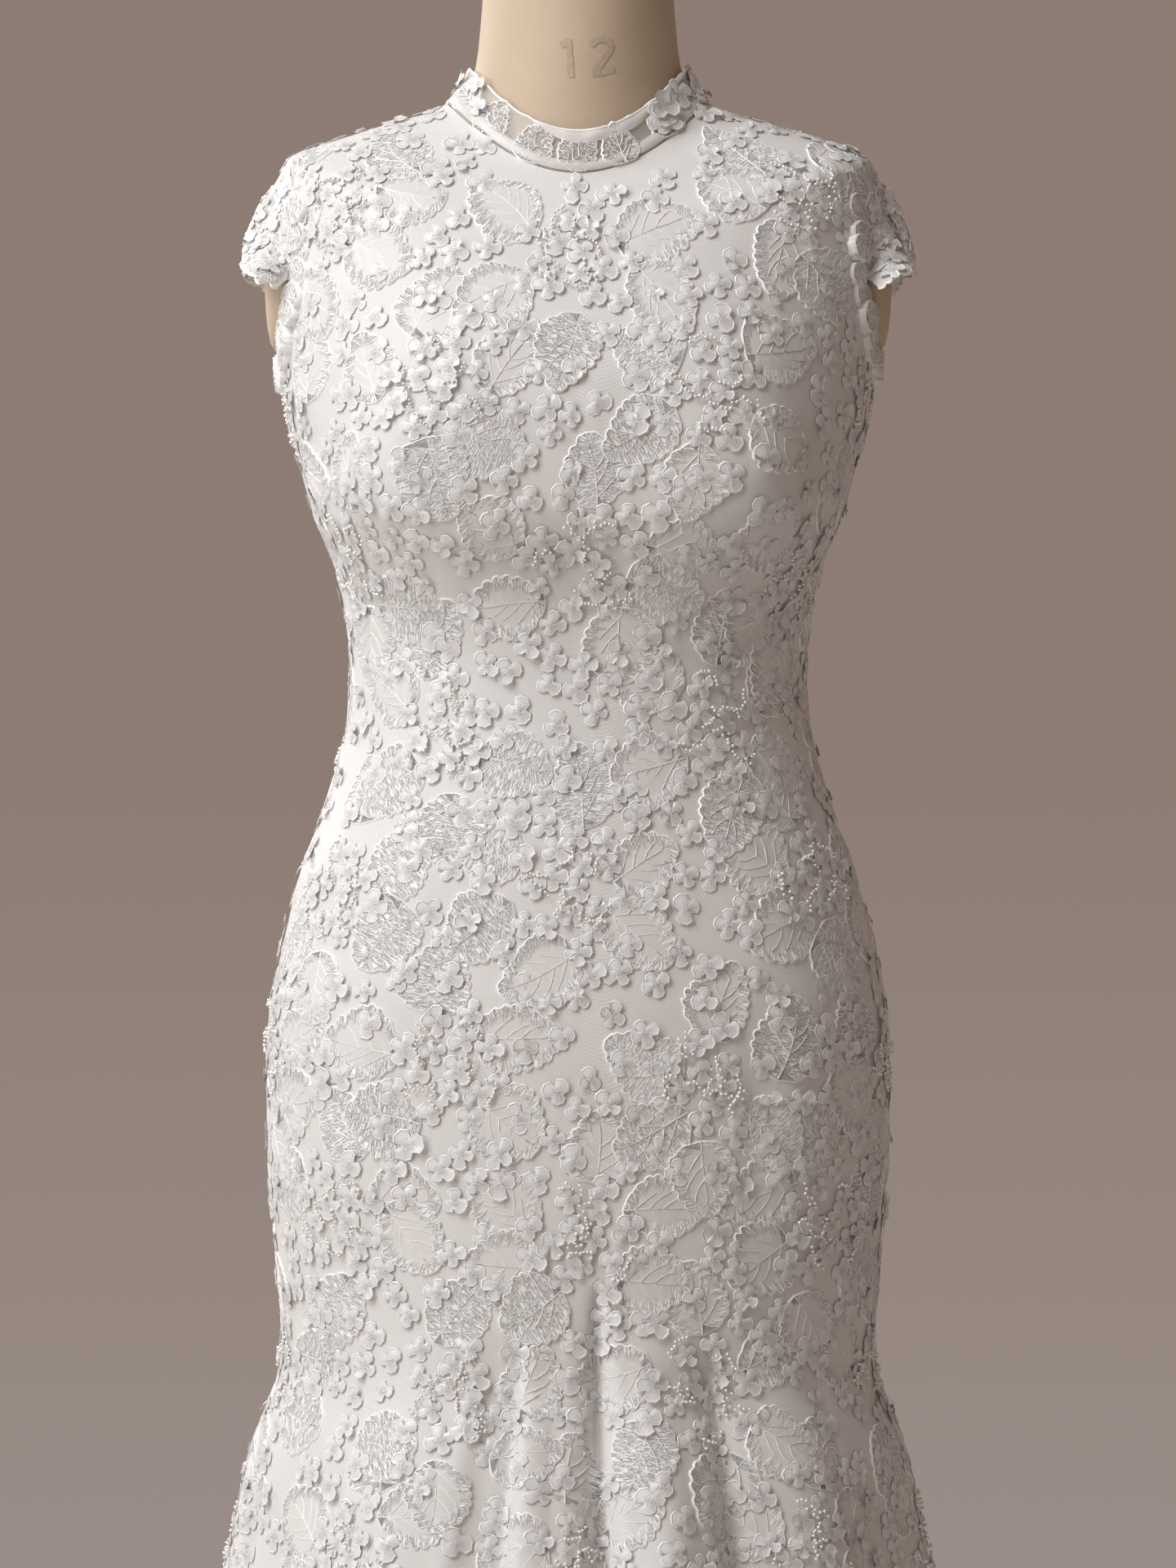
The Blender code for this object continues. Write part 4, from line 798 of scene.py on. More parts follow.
def wood():
    made = Finish("pale_beech", (0.50, 0.33, 0.19), 0.42)
    grain = made.noise(made.scaled(made.space(), (60, 9, 60)), 4.0, 6.0, 0.65)
    made.colour(made.ramp(grain, (0.30, (0.36, 0.22, 0.115)), (0.70, (0.56, 0.385, 0.235))))
    made.bump(grain, 0.0002, 0.4)
    return made.material


def steel():
    made = Finish("brushed_steel", (0.58, 0.575, 0.565), 0.30, metallic=1.0)
    brushed = made.noise(made.scaled(made.space(), (900, 900, 12)), 2.0, 3.0)
    made.roughness(made.ramp(brushed, (0.3, 0.24), (0.7, 0.40)))
    made.bump(brushed, 0.00005, 0.4)
    return made.material


def iron():
    made = Finish("black_iron", (0.035, 0.034, 0.033), 0.48, metallic=0.4)
    pits = made.noise(made.space(), 160.0, 5.0, 0.7)
    made.colour(made.ramp(pits, (0.35, (0.022, 0.021, 0.020)), (0.75, (0.055, 0.052, 0.048))))
    made.bump(pits, 0.0003, 0.5)
    return made.material


def faint_paint():
    made = Finish("faint_grey_paint", (0.40, 0.33, 0.245), 0.7)
    made.colour(made.clouds(420.0, (0.43, 0.355, 0.262), (0.56, 0.445, 0.325), 4.0, 0.7, 0.32, 0.62))
    return made.material


# Seam lines


def arm_sine(level):
    """How far the armhole reaches from the side line at a level, as a share of its half angle."""
    return np.sqrt(np.maximum(1 - ((level - ARM_LEVEL) / ARM_HALF_LEVEL) ** 2, 0.0))


QUARTER = np.radians(np.arange(0.0, 89.5, 0.5))
PRINCESS_STEPS = 90


def angle_at_x(x, level):
    """The angle in the front left quarter where the skin has this x."""
    return float(np.interp(x, skin(QUARTER, level)[:, 0], QUARTER))


PRINCESS_TOP = ARM_LEVEL + ARM_HALF_LEVEL * math.cos(PRINCESS_TURN)
PRINCESS_END = SIDE - ARM_HALF * math.sin(PRINCESS_TURN)
PRINCESS_X = smooth_curve(
    [stop.level for stop in PRINCESS] + [PRINCESS_TOP],
    [stop.x for stop in PRINCESS] + [float(skin(PRINCESS_END, PRINCESS_TOP)[0])],
)
PRINCESS_LEVELS = np.linspace(SEAM_LEVEL, PRINCESS_TOP, PRINCESS_STEPS)
PRINCESS_ANGLES = [angle_at_x(float(PRINCESS_X(level)), level) for level in PRINCESS_LEVELS]


def princess_angle(level):
    return np.interp(level, PRINCESS_LEVELS, PRINCESS_ANGLES)


def arm_front(level):
    return SIDE - ARM_HALF * arm_sine(level)


def arm_back(level):
    return SIDE + ARM_HALF * arm_sine(level)


def front_edge(level):
    return np.where(level <= PRINCESS_TOP, princess_angle(level), arm_front(level))


PANELS = (
    "front_centre",
    "front_side_left",
    "front_side_right",
    "back_left",
    "back_right",
    "flounce_front_left",
    "flounce_back_left",
    "flounce_front_right",
    "flounce_back_right",
)


def panel_of(angle, level):
    """Which of PANELS a place lies on, counted from 0."""
    angle = wrapped(angle)
    left = angle > 0
    away = np.abs(angle)
    body = np.where(away > SIDE, np.where(left, 3, 4), np.where(left, 1, 2))
    body = np.where(away <= front_edge(np.clip(level, SEAM_LEVEL, NECK_TOP)), 0, body)
    front_left = (angle >= FRONT_PEAK) & (angle <= SIDE)
    skirt = np.where(front_left, 5, np.where(angle > SIDE, 6, np.where(angle > -SIDE, 7, 8)))
    return np.where(level < flounce_seam(angle), skirt, body)


# Panels of the dress

Quarter = namedtuple("Quarter", "name start end columns")

SHOULDER_ROWS = 17
ARM_ROW_DEG = 10
ROUNDED = 6
V_HEIGHT = 0.14
FOOT_DIP = 0.8
FRONT_COLUMNS = (24, 21)
SIDE_COLUMNS = 14
BACK_COLUMNS = 34
FRONT_WIDTH = 0.22
SIDE_WIDTH = 0.10
BACK_WIDTH = 0.27
FLOUNCE_WIDTH = 0.30
FLOUNCE_ROWS = (40, 11)
FLOUNCE_DENSE = 0.9
QUARTERS = (
    Quarter("flounce_front_left", FRONT_PEAK, SIDE, 64),
    Quarter("flounce_back_left", SIDE, math.pi, 66),
    Quarter("flounce_front_right", -SIDE, FRONT_PEAK, 72),
    Quarter("flounce_back_right", -math.pi, -SIDE, 66),
)
TUCK = 0.004


def body_levels(top):
    """Rows up the bodice to a level, closer where the armhole turns."""
    low = np.arange(SEAM_LEVEL, ARM_LEVEL - ARM_HALF_LEVEL - CELL / 2, CELL)
    arm = ARM_LEVEL - ARM_HALF_LEVEL * np.cos(np.radians(np.arange(0, 181, ARM_ROW_DEG)))
    high = np.linspace(SHOULDER_TIP, NECK_SEAM, SHOULDER_ROWS)[1:]
    levels = np.unique(np.round(np.concatenate([low, arm, [PRINCESS_TOP], high]), ROUNDED))
    return levels[levels <= top + 10**-ROUNDED]


def edged(shares, width):
    """Shares across a panel, with two more columns beside each edge for its seam."""
    extra = np.array(SEAM_COLUMNS) / width
    return np.unique(np.round(np.concatenate([shares, extra, 1 - extra]), ROUNDED))


def run_along(line):
    """Length along a line of points, from its start to each of them."""
    return np.concatenate([[0.0], np.cumsum(np.linalg.norm(np.diff(line, axis=0), axis=1))])


def seam_dip(shares, width):
    edge = np.minimum(shares, 1 - shares) * width
    return -SEAM_DIP * np.exp(-((edge / SEAM_DIP_WIDTH) ** 2))


def keep_rim_crisp(mesh):
    """Marks the open edges as sharp, so that the wall's rim leaves the shading of the cloth alone."""
    edges = np.empty(len(mesh.loops), np.int32)
    mesh.loops.foreach_get("edge_index", edges)
    uses = np.bincount(edges, minlength=len(mesh.edges))
    mesh.attributes.new("sharp_edge", "BOOLEAN", "EDGE").data.foreach_set("value", uses == 1)


def sheet_piece(name, grid, finish, wall=CLOTH_THICK):
    """A thin shell through a grid of points, in place of the node of that name."""
    pile = Pile()
    rows, columns = grid.shape[:2]
    pile.add(grid.reshape(1, -1, 3), grid_faces(rows, columns), grid_map(grid).reshape(1, -1, 2))
    made = new_piece(name + "_cloth", pile, [finish], [name])
    keep_rim_crisp(made.data)
    if wall:
        thick = made.modifiers.new("wall", "SOLIDIFY")
        thick.thickness = wall
        thick.offset = -1.0
    return made


def bodice_grid(left, right, shares, width, top=NECK_SEAM):
    """A panel between two seam lines, from the flounce seam up to a level."""
    levels = body_levels(top)
    shares = edged(shares, width)
    start, end = left(levels)[:, None], right(levels)[:, None]
    angles = start + (end - start) * shares[None]
    sink = np.clip((levels - SEAM_LEVEL) / V_HEIGHT, 0, 1)[:, None]
    places = levels[:, None] + (flounce_seam(angles) - SEAM_LEVEL) * (1 - sink * sink * (3 - 2 * sink))
    foot = -SEAM_DIP * FOOT_DIP * np.exp(-(((levels - SEAM_LEVEL) / SEAM_DIP_HEIGHT) ** 2))[:, None]
    return DRESS.place(angles, places, seam_dip(shares, width)[None] + foot)


def mirrored(edge):
    return lambda level: -edge(level)


def at_angle(angle):
    return lambda level: 0 * level + angle


def build_bodice(finish):
    peak_share = float((FRONT_PEAK + princess_angle(SEAM_LEVEL)) / (2 * princess_angle(SEAM_LEVEL)))
    before, after = FRONT_COLUMNS
    front = np.concatenate([np.linspace(0, peak_share, before), np.linspace(peak_share, 1, after)[1:]])
    side = np.linspace(0, 1, SIDE_COLUMNS)
    back = np.linspace(0, 1, BACK_COLUMNS)
    left, right, middle = princess_angle, mirrored(princess_angle), at_angle(math.pi)
    grids = {
        "front_centre": bodice_grid(mirrored(front_edge), front_edge, front, FRONT_WIDTH),
        "front_side_left": bodice_grid(left, arm_front, side, SIDE_WIDTH, PRINCESS_TOP),
        "front_side_right": bodice_grid(mirrored(arm_front), right, side, SIDE_WIDTH, PRINCESS_TOP),
        "back_left": bodice_grid(arm_back, middle, back, BACK_WIDTH),
        "back_right": bodice_grid(mirrored(middle), mirrored(arm_back), back, BACK_WIDTH),
    }
    return {name: sheet_piece(name, grid, finish) for name, grid in grids.items()}


def build_flounce(finish):
    low, high = FLOUNCE_ROWS
    rows = [np.linspace(0, FLOUNCE_DENSE, low), np.linspace(FLOUNCE_DENSE, 1, high)[1:]]
    rows = np.concatenate(rows)[:, None]
    made = {}
    for name, start, end, columns in QUARTERS:
        shares = edged(np.linspace(0, 1, columns), FLOUNCE_WIDTH)
        angles = (start + (end - start) * shares)[None]
        top = flounce_seam(angles)
        levels = HEM + (top - HEM) * rows
        foot = SEAM_DIP * np.exp(-(((top - levels) / SEAM_DIP_HEIGHT) ** 2))
        out = seam_dip(shares, FLOUNCE_WIDTH)[None] - foot
        levels = np.concatenate([levels, top + TUCK])
        out = np.concatenate([out, np.full_like(top, -2 * SEAM_DIP)])
        grid = DRESS.place(np.repeat(angles, len(levels), axis=0), levels, out)
        made[name] = sheet_piece(name, grid, finish)
    return made


# Lace

# Leaves. Sizes are shares of a leaf's length or width, or metres where they are heights and cords.
LEAF_SIDE = 24
LEAF_LOBES = 8
LEAF_MIDDLE = 0.48
LEAF_BLUNT = (0.62, 0.95)
LEAF_FULL = (0.56, 0.84)
LEAF_LOPSIDED = 0.14
LEAF_WOBBLE = 0.06
LOBE_DEPTH = (0.044, 0.064)
LOBE_ROUND = 0.7
LOBE_FADE = 0.3
LOBE_LEAN = 0.3
SPINE_FROM = 0.10
SPINE_SPAN = 0.80
EDGE_RAGGED = 0.00022
EDGE_CREST = (0.00045, 0.00085)
EDGE_FOOT = 0.0006
EDGE_INNER = 0.0010
EDGE_INNER_DEPTH = 0.0012
EDGE_INNER_HEIGHT = 0.45
INSIDE = ((0.50, 0.00030), (0.985, 0.00025))
INSIDE_ROUGH = 0.0003
MAP_SHIFT = 3
VEIN_PAIRS = (0.14, 0.32, 0.50)
VEIN_SPAN = 0.27
VEIN_REACH = (0.45, 0.74)
VEIN_BOW = 0.8
VEIN_STEPS = 4
VEIN_THICK = 0.00040
SPINE_VEIN = (0.02, 0.78)
SPINE_STEPS = 8
SPINE_THICK = 0.00050
VEIN_LOW = 0.0002
VEIN_HIGH = 0.00085
ROOTED = -0.02
SUNK = -0.0003


def ribbon(path, half_width, low, high):
    """A raised thread along paths (copies, k, 2): its foot, crest and foot at each step, with heights."""
    way = unit(np.gradient(path, axis=1))
    beside = np.stack([-way[..., 1], way[..., 0]], axis=-1) * half_width[..., None]
    points = np.stack([path + beside, path, path - beside], axis=2)
    heights = np.broadcast_to(np.array([low, high, low]), points.shape[:3])
    return points.reshape(len(path), -1, 2), heights.reshape(len(path), -1)


def ribbon_faces(steps):
    step = np.arange(steps - 1)[:, None] * 3
    return (step + np.array([[0, 1, 4, 3], [1, 2, 5, 4]])[:, None]).reshape(-1, 4)


class Leaves:
    """Flat points, heights, map and faces of many leaves that differ in size, bend and outline."""

    def __init__(self, length, width, bend, rng):
        self.length, self.width, self.bend = length[:, None], width[:, None], bend[:, None]
        count = len(length)
        self.points, self.heights, self.maps, self.faces = [], [], [], []
        self.first = 0
        self.blunt = rng.uniform(*LEAF_BLUNT, (count, 1))
        self.full = rng.uniform(*LEAF_FULL, (count, 1))
        self.lopsided = rng.uniform(-LEAF_LOPSIDED, LEAF_LOPSIDED, (count, 1))
        self.wobble = rng.uniform(-LEAF_WOBBLE, LEAF_WOBBLE, (count, 2))
        self.lobe = rng.uniform(*LOBE_DEPTH, (count, 1)) * self.width
        self.add_edge(rng)
        self.add_veins(rng)

    def half(self, share, side):
        """Half the leaf's width at a share of its length."""
        plain = np.sin(math.pi * share**self.blunt) ** self.full
        wave = self.wobble[:, :1] * np.sin(2 * math.pi * share)
        wave = wave + self.wobble[:, 1:] * np.sin(3 * math.pi * share)
        return plain * self.width / 2 * (1 + side * self.lopsided + side * wave)

    def middle(self, share):
        """Places down the leaves' middle lines, from the stalk (0) to the tip (1)."""
        bow = self.bend * self.length * 2 * (share - 0.5) ** 2 + 0 * share
        return np.stack([(share - LEAF_MIDDLE) * self.length, bow], axis=-1)

    def outline(self, share, side):
        lobe = np.abs(np.sin(LEAF_LOBES * math.pi * share)) ** LOBE_ROUND * self.lobe
        lobe = lobe * np.sin(math.pi * share) ** LOBE_FADE
        points = self.middle(share)
        points[..., 1] += side * (self.half(share, side) + lobe)
        points[..., 0] += lobe * (share - LOBE_LEAN)
        return points

    def keep(self, points, heights, maps, faces):
        self.points.append(points)
        self.heights.append(np.broadcast_to(heights, points.shape[:2]))
        self.maps.append(np.broadcast_to(maps, points.shape))
        self.faces.append(faces + self.first)
        self.first += points.shape[1]

    def add_edge(self, rng):
        """The corded scalloped edge and the cloth inside it."""
        share = np.concatenate([np.arange(LEAF_SIDE), np.arange(LEAF_SIDE, 0, -1)]) / LEAF_SIDE
        side = np.repeat([1.0, -1.0], LEAF_SIDE)
        outline = self.outline(share, side)
        way = unit(np.roll(outline, -1, axis=1) - np.roll(outline, 1, axis=1))
        outward = np.stack([-way[..., 1], way[..., 0]], axis=-1)
        spine = self.middle(SPINE_FROM + SPINE_SPAN * share)
        reach = np.linalg.norm(outline - spine, axis=-1)
        flat = np.zeros_like(reach)
        ragged = rng.normal(0, EDGE_RAGGED, reach.shape)
        outline = outline + outward * ragged[..., None]
        crest = rng.uniform(*EDGE_CREST, reach.shape)
        rings = [
            (outline + outward * EDGE_FOOT, flat + ROOTED, flat),
            (outline, crest, flat),
            (outline - outward * EDGE_INNER, crest * EDGE_INNER_HEIGHT, flat + EDGE_INNER_DEPTH),
        ]
        for deep, height in INSIDE:
            height = height + INSIDE_ROUGH * rng.random(reach.shape)
            rings.append((outline + (spine - outline) * deep, height, reach * deep))
        run = np.cumsum(np.linalg.norm(outline - np.roll(outline, 1, axis=1), axis=-1), axis=1)
        run = run + rng.uniform(0, MAP_SHIFT, (len(run), 1))
        points, heights, depths = [np.concatenate(part, axis=1) for part in zip(*rings)]
        maps = np.stack([np.tile(run, len(rings)), depths], axis=-1)
        faces = turned_over(grid_faces(len(rings), 2 * LEAF_SIDE, closed=True))
        self.keep(points, heights, maps, faces)

    def add_veins(self, rng):
        threads = [(np.linspace(*SPINE_VEIN, SPINE_STEPS), 0.0, SPINE_THICK)]
        for start in VEIN_PAIRS:
            shares = np.linspace(start, start + VEIN_SPAN, VEIN_STEPS)
            threads += [(shares, side, VEIN_THICK) for side in (1.0, -1.0)]
        for shares, side, thick in threads:
            part = np.linspace(0, 1, len(shares))
            path = self.middle(shares)
            reach = side * rng.uniform(*VEIN_REACH, self.length.shape)
            path[..., 1] += reach * self.half(shares, side) * part**VEIN_BOW
            half_width = thick * (1 - 0.5 * part) + 0 * path[..., 0]
            flat, height = ribbon(path, half_width, VEIN_LOW, VEIN_HIGH)
            self.keep(flat, height, np.zeros((1, 1, 2)), ribbon_faces(len(shares)))

    def shapes(self):
        joined = [np.concatenate(parts, axis=1) for parts in (self.points, self.heights, self.maps)]
        return (*joined, np.concatenate(self.faces))


# Flowers. A lobe has a point at each phase of its turn, and rings at shares of its reach.
LOBE_PHASES = np.array([-0.5, -0.33, -0.12, 0.12, 0.33])
LOBE_REACH = np.array([0.50, 0.87, 1.0, 1.0, 0.87])
LOBE_SIZES = (0.82, 1.14)
LOBE_TURNED = 0.09
LOBE_LIFT = (-0.0003, 0.0006)
LOBE_ROUGH = 0.00012
FLOWER_RINGS = np.array([0.22, 0.86, 1.0])
RING_HEIGHTS = np.array([0.00050, 0.00062, 0.00030])
KNOB = 0.00125
CURLED = 0.14
CURL_LIFT = 0.0018
THREE_LOBED = 0.33


def flower_shapes(size, lobes, rng):
    """Flat points, heights, map and faces of flat cut flowers with round lobes and a stitched middle."""
    count, wide = len(size), lobes * len(LOBE_PHASES)

    def each_point(of_lobes):
        return np.repeat(of_lobes, len(LOBE_PHASES), axis=1)

    turns = ((np.arange(lobes)[:, None] + LOBE_PHASES) * 2 * math.pi / lobes).reshape(-1)
    turns = turns + each_point(rng.normal(0, LOBE_TURNED, (count, lobes)))
    own = each_point(rng.uniform(*LOBE_SIZES, (count, lobes)))
    reach = np.tile(LOBE_REACH, lobes) * own * size[:, None]
    curl = CURL_LIFT * (rng.random((count, lobes)) < CURLED)
    lift = each_point(rng.uniform(*LOBE_LIFT, (count, lobes)) + curl)
    lift = lift + rng.normal(0, LOBE_ROUGH, (count, wide))
    ring = FLOWER_RINGS[None, :, None]
    radius = reach[:, None] * ring
    flat = np.stack([radius * np.cos(turns[:, None]), radius * np.sin(turns[:, None])], axis=-1)
    height = RING_HEIGHTS[None, :, None] + lift[:, None] * ring**2
    flat = np.concatenate([flat.reshape(count, -1, 2), np.zeros((count, 1, 2))], axis=1)
    height = np.concatenate([height.reshape(count, -1), np.full((count, 1), KNOB)], axis=1)
    rings = len(FLOWER_RINGS)
    share = np.append(np.repeat(FLOWER_RINGS, wide), 0.0)
    place = np.arange(wide)
    fan = np.stack([place, (place + 1) % wide, 0 * place + rings * wide], axis=-1)
    quads = turned_over(grid_faces(rings, wide, closed=True))
    return flat, height, np.stack([share, 0 * share], axis=-1)[None], (quads, fan)


# Corners of the ball that are nearer than this many radii share an edge
NEIGHBOURS = 1.2


def ball():
    """The corners and faces of a regular icosahedron, of radius 1."""
    golden = (1 + math.sqrt(5)) / 2
    corners = [(-1, golden, 0), (1, golden, 0), (-1, -golden, 0), (1, -golden, 0)]
    corners = corners + [(z, x, y) for x, y, z in corners] + [(y, z, x) for x, y, z in corners]
    points = unit(np.array(corners, float))
    apart = np.linalg.norm(points[:, None] - points[None], axis=-1)
    near = (apart > 0) & (apart < NEIGHBOURS)
    faces = []
    for a, b, c in combinations(range(len(points)), 3):
        if near[a, b] and near[b, c] and near[a, c]:
            turn = np.dot(np.cross(points[b] - points[a], points[c] - points[a]), points[a])
            faces.append([a, b, c] if turn > 0 else [a, c, b])
    return points, np.array(faces)


BALL_POINTS, BALL_FACES = ball()
EDGE_STITCHED, ALL_STITCHED, ORGANZA, PEARL = range(4)

# Where lace may lie on the dress: over the armhole's edge, beside and below the closure, to neck and hem
OVERHANG = 0.93
YOKE_LEVEL = 1.40
YOKE_DEPTH = 0.075
BACK_DEPTH = 0.11
STRIP_MARGIN = 0.0015
STRIP_FOOT = 0.006
NECK_MARGIN = 0.0065
HEM_MARGIN = 0.0015


def clear_on_dress(angle, level):
    """Whether motifs, whose points these are, leave armholes, neck, closure and hem free."""
    angle = wrapped(angle)
    arm = ((np.abs(angle) - SIDE) / ARM_HALF) ** 2 + ((level - ARM_LEVEL) / ARM_HALF_LEVEL) ** 2
    behind = np.abs(wrapped(angle - math.pi)) * np.where(level > YOKE_LEVEL, YOKE_DEPTH, BACK_DEPTH)
    strip = (behind < PLACKET_HALF + STRIP_MARGIN) & (level > PLACKET_END - STRIP_FOOT)
    ends = (level > NECK_SEAM + NECK_MARGIN) | (level < HEM + HEM_MARGIN)
    return ~((arm < OVERHANG**2) | strip | ends).any(axis=1)


def only_pile(a, b):
    return np.zeros(len(a), int)


class Spot:
    """Where motifs go: their piles, the cloth, which places are free, and the pile of each place."""

    def __init__(self, piles, cloth, clear, number_of=only_pile):
        self.piles, self.cloth, self.clear, self.number_of = piles, cloth, clear, number_of

    def sort(self, a, b, points, faces, maps, finish):
        """Adds copies to the piles of the places that they are stamped at."""
        number = self.number_of(a, b)
        for index, pile in enumerate(self.piles):
            mine = number == index
            pile.add(points[mine], faces, maps[mine], finish)

    def stamp(self, a, b, turn, lift, shapes, finish):
        """Copies of flat shapes at places of the cloth."""
        flat, height, maps, faces = shapes
        angle, level = self.cloth.spread(a, b, turn, flat)
        kept = self.clear(angle, level)
        out = np.maximum(height[kept] + lift[kept, None], SUNK)
        points = self.cloth.place(angle[kept], level[kept], out)
        maps = np.broadcast_to(maps, height.shape + (2,))[kept]
        self.sort(a[kept], b[kept], points, faces, maps, finish)

    def leaves(self, a, b, turn, length, width, bend, lift, rng, finish):
        self.stamp(a, b, turn, lift, Leaves(length, width, bend, rng).shapes(), finish)

    def flowers(self, a, b, size, lift, rng):
        """Flowers of four lobes, and some of three."""
        turn = rng.uniform(0, 2 * math.pi, len(a))
        three = rng.random(len(a)) < THREE_LOBED
        for lobes, mine in ((3, three), (4, ~three)):
            if mine.any():
                shapes = flower_shapes(size[mine], lobes, rng)
                self.stamp(a[mine], b[mine], turn[mine], lift[mine], shapes, ORGANZA)

    def scatter(self, count, spans, rng):
        """Flowers at random within spans of the two coordinates, the size and the lift."""
        self.flowers(*[rng.uniform(*span, count) for span in spans], rng)

    def beads(self, a, b, out, radius):
        kept = self.clear(a[:, None], b[:, None])
        a, b, out, radius = a[kept], b[kept], out[kept], radius[kept]
        points = self.cloth.place(a, b, out)[:, None] + BALL_POINTS[None] * radius[:, None, None]
        self.sort(a, b, points, BALL_FACES, np.zeros(points.shape[:2] + (2,)), PEARL)

    def cord(self, a, b, half_width, low, high):
        """A thread along one path of the cloth."""
        points = self.cloth.place(a, b)
        across, along, normal = self.cloth.frame(a, b)
        way = unit(np.gradient(points, axis=0))
        beside = np.cross(normal, way) * half_width
        rows = [points + beside + normal * low, points + normal * high, points - beside + normal * low]
        grid = np.stack(rows, axis=1).reshape(1, -1, 3)
        self.piles[0].add(grid, ribbon_faces(len(points)), np.zeros((1, 1, 2)), EDGE_STITCHED)


# The half-drop net of clusters
COLUMN_PITCH = 0.152
ROW_PITCH = 0.0990
ROW_ORIGIN = 1.335
NET_ROWS = range(-14, 4)
NET_JITTER = 0.005
NET_STEP = 0.003
NET_CLEAR_FOOT = 0.03
NET_CLEAR_NECK = 0.004
NET_CLEAR_BACK = 0.030


def cluster_places(rng):
    """Centres of the flower clusters, on a half-drop net round the dress."""
    levels = np.arange(HEM, NECK_TOP, NET_STEP)
    run = run_along(skin(np.zeros_like(levels), levels))
    run += WAIST - np.interp(WAIST, levels, run)
    found = []
    angles = np.radians(np.arange(-180.0, 181.0))
    for row in NET_ROWS:
        level = float(np.interp(ROW_ORIGIN + row * ROW_PITCH, run, levels))
        if not HEM + NET_CLEAR_FOOT < level < NECK_SEAM - NET_CLEAR_NECK:
            continue
        round_run = run_along(skin(angles, level))
        round_run -= round_run[len(angles) // 2]
        half = round_run[-1]
        last = math.ceil(half / COLUMN_PITCH) + 1
        for column in range(-last, last + 1):
            across = (column + 0.5 * (row % 2)) * COLUMN_PITCH
            jitter = rng.normal(0, NET_JITTER, 2)
            if abs(across) < half - NET_CLEAR_BACK:
                found.append((np.interp(across + jitter[0], round_run, angles), level + jitter[1]))
    return np.array(found).T


# Each cluster's leaves: (turn in degrees, metres from its middle), and how the leaves differ
LEAF_SLOTS = ((90, 0.056), (25, 0.050), (155, 0.050), (215, 0.049), (325, 0.049), (270, 0.055))
SLOT_TURNED_DEG = 9
SLOT_MOVED = 0.0030
LEAF_LENGTHS = (0.043, 0.053)
LEAF_WIDTHS = (0.035, 0.044)
LEAF_BENDS = (-0.12, 0.12)
LEAF_TURNED_DEG = 30
LEAF_LIFT = 0.00010
SLOT_LIFT = 0.00011
LEAF_LEFT_OUT = 0.06
ALL_STITCHED_FROM = 0.58

# Each cluster's flowers, some in its middle and some round it, and the pearls strung round the first
FLOWERS_IN = 14
FLOWERS_OUT = 12
MIDDLE_RADIUS = 0.036
FIRST_PLACE = 0.4
OUTER_RADII = (0.046, 0.078)
GOLDEN_TURN = 2.39996
FLOWER_TURNED = 0.10
FLOWER_MOVED = 0.0015
FLOWER_LIFT = (0.0004, 0.0010)
FLOWER_SIZES = (0.0080, 0.0100)
STRUNG = 7
STRING_BEADS = 8
STRING_RADIUS = 0.0096
BEAD_STEP = 0.0024
BEAD_MOVED = 0.0013
BEAD_OUT = (0.0019, 0.0031)
BEAD_RADII = (0.00095, 0.00125)

# Single flowers between the clusters
FILLING_TRIES = 9000
FILLING_FOOT = 0.012
LEAF_CLEAR = 0.0212
FLOWER_CLEAR = 0.0149
FILLING_SIZES = (0.0078, 0.0098)
FILLING_LIFT = (0.0003, 0.0008)

# Leaves over the armhole's lower edge
TIP_TURNS = np.radians(np.arange(60, 253, 12))
TIP_TURNED = 0.03
TIP_SCALE = 1.05
TIP_MOVED = (-0.02, 0.05)
TIP_LENGTHS = (0.017, 0.024)
TIP_WIDTHS = (0.014, 0.018)
TIP_FACING = 0.35
TIP_LIFT = (0.0015, 0.0070)
ARM_RADIUS = 0.178


def nudge_round(a, b, turn, distance):
    """Coordinates at a distance from places of the dress, each in its own direction."""
    return DRESS.nudged(a, b, distance * np.cos(turn), distance * np.sin(turn))


def cluster_leaves(spot, a, b, rng):
    """The leaves round the clusters. Their places are given back."""
    count = len(a)
    places = []
    for slot, (turn_deg, away) in enumerate(LEAF_SLOTS):
        turn = np.radians(turn_deg + rng.normal(0, SLOT_TURNED_DEG, count))
        distance = away + rng.normal(0, SLOT_MOVED, count)
        draw = rng.random(count)
        there = draw < 1 - LEAF_LEFT_OUT
        edge_only = draw < ALL_STITCHED_FROM
        at = nudge_round(a, b, turn, distance)
        places.append(DRESS.place(*at)[there])
        length, width = rng.uniform(*LEAF_LENGTHS, count), rng.uniform(*LEAF_WIDTHS, count)
        bend = rng.uniform(*LEAF_BENDS, count)
        lift = LEAF_LIFT + SLOT_LIFT * slot + rng.uniform(0, LEAF_LIFT, count)
        facing = turn + np.radians(rng.normal(0, LEAF_TURNED_DEG, count))
        for finish, chosen in ((EDGE_STITCHED, edge_only), (ALL_STITCHED, ~edge_only & there)):
            sizes = [size[chosen] for size in (*at, facing, length, width, bend, lift)]
            spot.leaves(*sizes, rng, finish)
    return np.concatenate(places)


